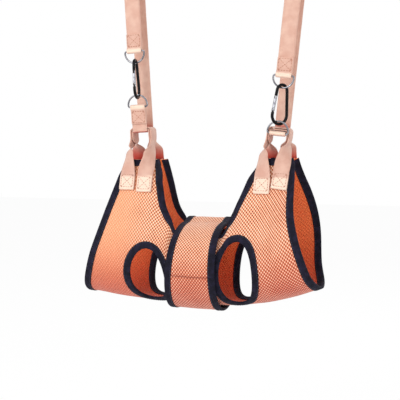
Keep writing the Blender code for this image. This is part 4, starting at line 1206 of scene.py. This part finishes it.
def handleLeg(s, topGirth, side, way, place, spread):
    hemHeight, legHeight, step = handle["hemHeight"], handle["legHeight"], handle["step"]
    foot, bend = topGirth - handle["sewn"], (legHeight - hemHeight) / 2
    spots = [(girth, hemHeight) for girth in spaced(foot + handle["hem"], foot, step)[:-1]]
    spots += [tuple(p) for p in arc((foot, (legHeight + hemHeight) / 2), -bend, bend, -90, 90, 8)]
    spots += [(girth, legHeight) for girth in spaced(foot, topGirth + handle["rise"], step)[1:]]
    target = Vector((0, way, 0))
    places = []
    for girth, height in spots:
        early = ramp(girth, body["curlFrom"], body["curlFull"]) if side < 0 else 0.0
        at, width = layAt(s, side * girth, height + handle["earlyLift"][way > 0] * early)
        begun = math.asin(width.dot(target)) + handle["earlyTurn"][way > 0] * early
        places.append((at, turned(width, target, begun)))
    start, width = places[-1]
    rising = (start - places[-2][0]).normalized()
    up = (place.to_3x3() @ Vector((0, 0, 1))).normalized()
    stop = place @ Vector((way * spread, 0, handleRest - handle["bend"] - handle["straight"]))
    pull = (stop - start).length * handle["pull"]
    leaving, arriving = start + rising * pull, stop - up * pull
    begun = math.asin(width.dot(target))
    for k in range(1, handle["twistSteps"] + 1):
        u = k / handle["twistSteps"]
        v = 1 - u
        at = start * v ** 3 + leaving * 3 * v * v * u + arriving * 3 * v * u * u + stop * u ** 3
        twist = ramp(u, 0.0, handle["nearTwistEnd" if side < 0 else "twistEnd"])
        places.append((at, turned(width, target, mix(begun, math.pi / 2, twist))))
    return places


def paintHandleLight(obj, place, side):
    # painted highlight where the leg is sewn down; painted shade in deep orange on the inward faces between
    # the sails, and a lighter painted shade on the free legs
    values = obj.data.attributes.new("tone", "FLOAT", "POINT")
    low, high = (place.translation.z - drop for drop in handle["shadeDrop"])
    for vertex in obj.data.vertices:
        facing = vertex.normal.y * side
        # painted shade on the inward faces low on the legs, near the sail tops
        shaded = min(1.0, handle["shadeGain"] * max(0.0, -facing)) * (1.0 - ramp(vertex.co.z, low, high))
        # painted highlight on the sewn part's outward faces
        sewn = 1.0 - ramp(vertex.co.z, *handle["highlightHeight"])
        # painted shade, lighter, on the free legs above the sewn part
        deep = max(shaded * handle["glow"], handle["aged"] * (1.0 - sewn))
        values.data[vertex.index].value = max(0.0, facing) * sewn * handle["pale"] - deep


def makeHandle(name, handleX, topGirth, side, place, outer):
    feet = {way: handleX + way * handle["pitch"] / 2 for way in (-1, 1)}
    left, right = (handleLeg(s, topGirth, side, way, place, handleSpread + outer) for way, s in feet.items())
    radius, bend = handle["bend"] + outer, handle["bend"]
    over = arc((bend - handleSpread, handleRest - bend), -radius, radius, 0, 90, 9)
    over += arc((handleSpread - bend, handleRest - bend), radius, radius, 90, 0, 9)
    strip = left + [(place @ Vector((p.x, 0, p.y)), Vector((0, -1, 0))) for p in over]
    obj = webbingLoft(name, strip + [(middle, -across) for middle, across in reversed(right)])
    paintHandleLight(obj, place, side)
    centre = topGirth - handle["sewn"] + handle["boxRise"] + handle["box"] / 2
    surface = handle["legHeight"] + halfThick + webbing["crown"]
    for s in feet.values():

        def onLeg(x, z):
            middle, across = layAt(s, side * (centre + z), surface)
            below = layAt(s, side * (centre + z), 0.0)[0]
            return middle + across * x, (middle - below).normalized()

        boxStitch(onLeg, handle["box"], handle["box"])


# The making, piece by piece

makeSling()
print("sling made")
makeBand()
print("belly band made")
places = {"rear": makeStrap("rear", -1, hook["rearTurn"]), "front": makeStrap("front", 1, hook["frontTurn"])}
for end in places:
    for part in ("gate", "pin", "spring"):
        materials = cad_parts[end + "_hook_" + part].data.materials
        materials.clear()
        materials.append(finishes["steel"][0])
print("straps, rings and hooks made")
for end, sideEnd in (("rear", 0), ("front", -1)):
    topGirth = (sling[end + "Edge"][0][1] + sling["sideEdge"][sideEnd][1]) / 2
    for side, name, outer in ((1, "Far", 0.0), (-1, "Near", webbing["thickness"] + handle["gap"])):
        makeHandle(end + name + "Handle", body[end + "HandleX"], topGirth, side, places[end], outer)
print("handles made")
finishThreads("tapeStitches", "navyThread")
finishThreads("bandStitches", "orangeThread")
finishThreads("webbingStitches", "peachThread")
print("stitches sewn")

bpy.ops.object.select_all(action="DESELECT")
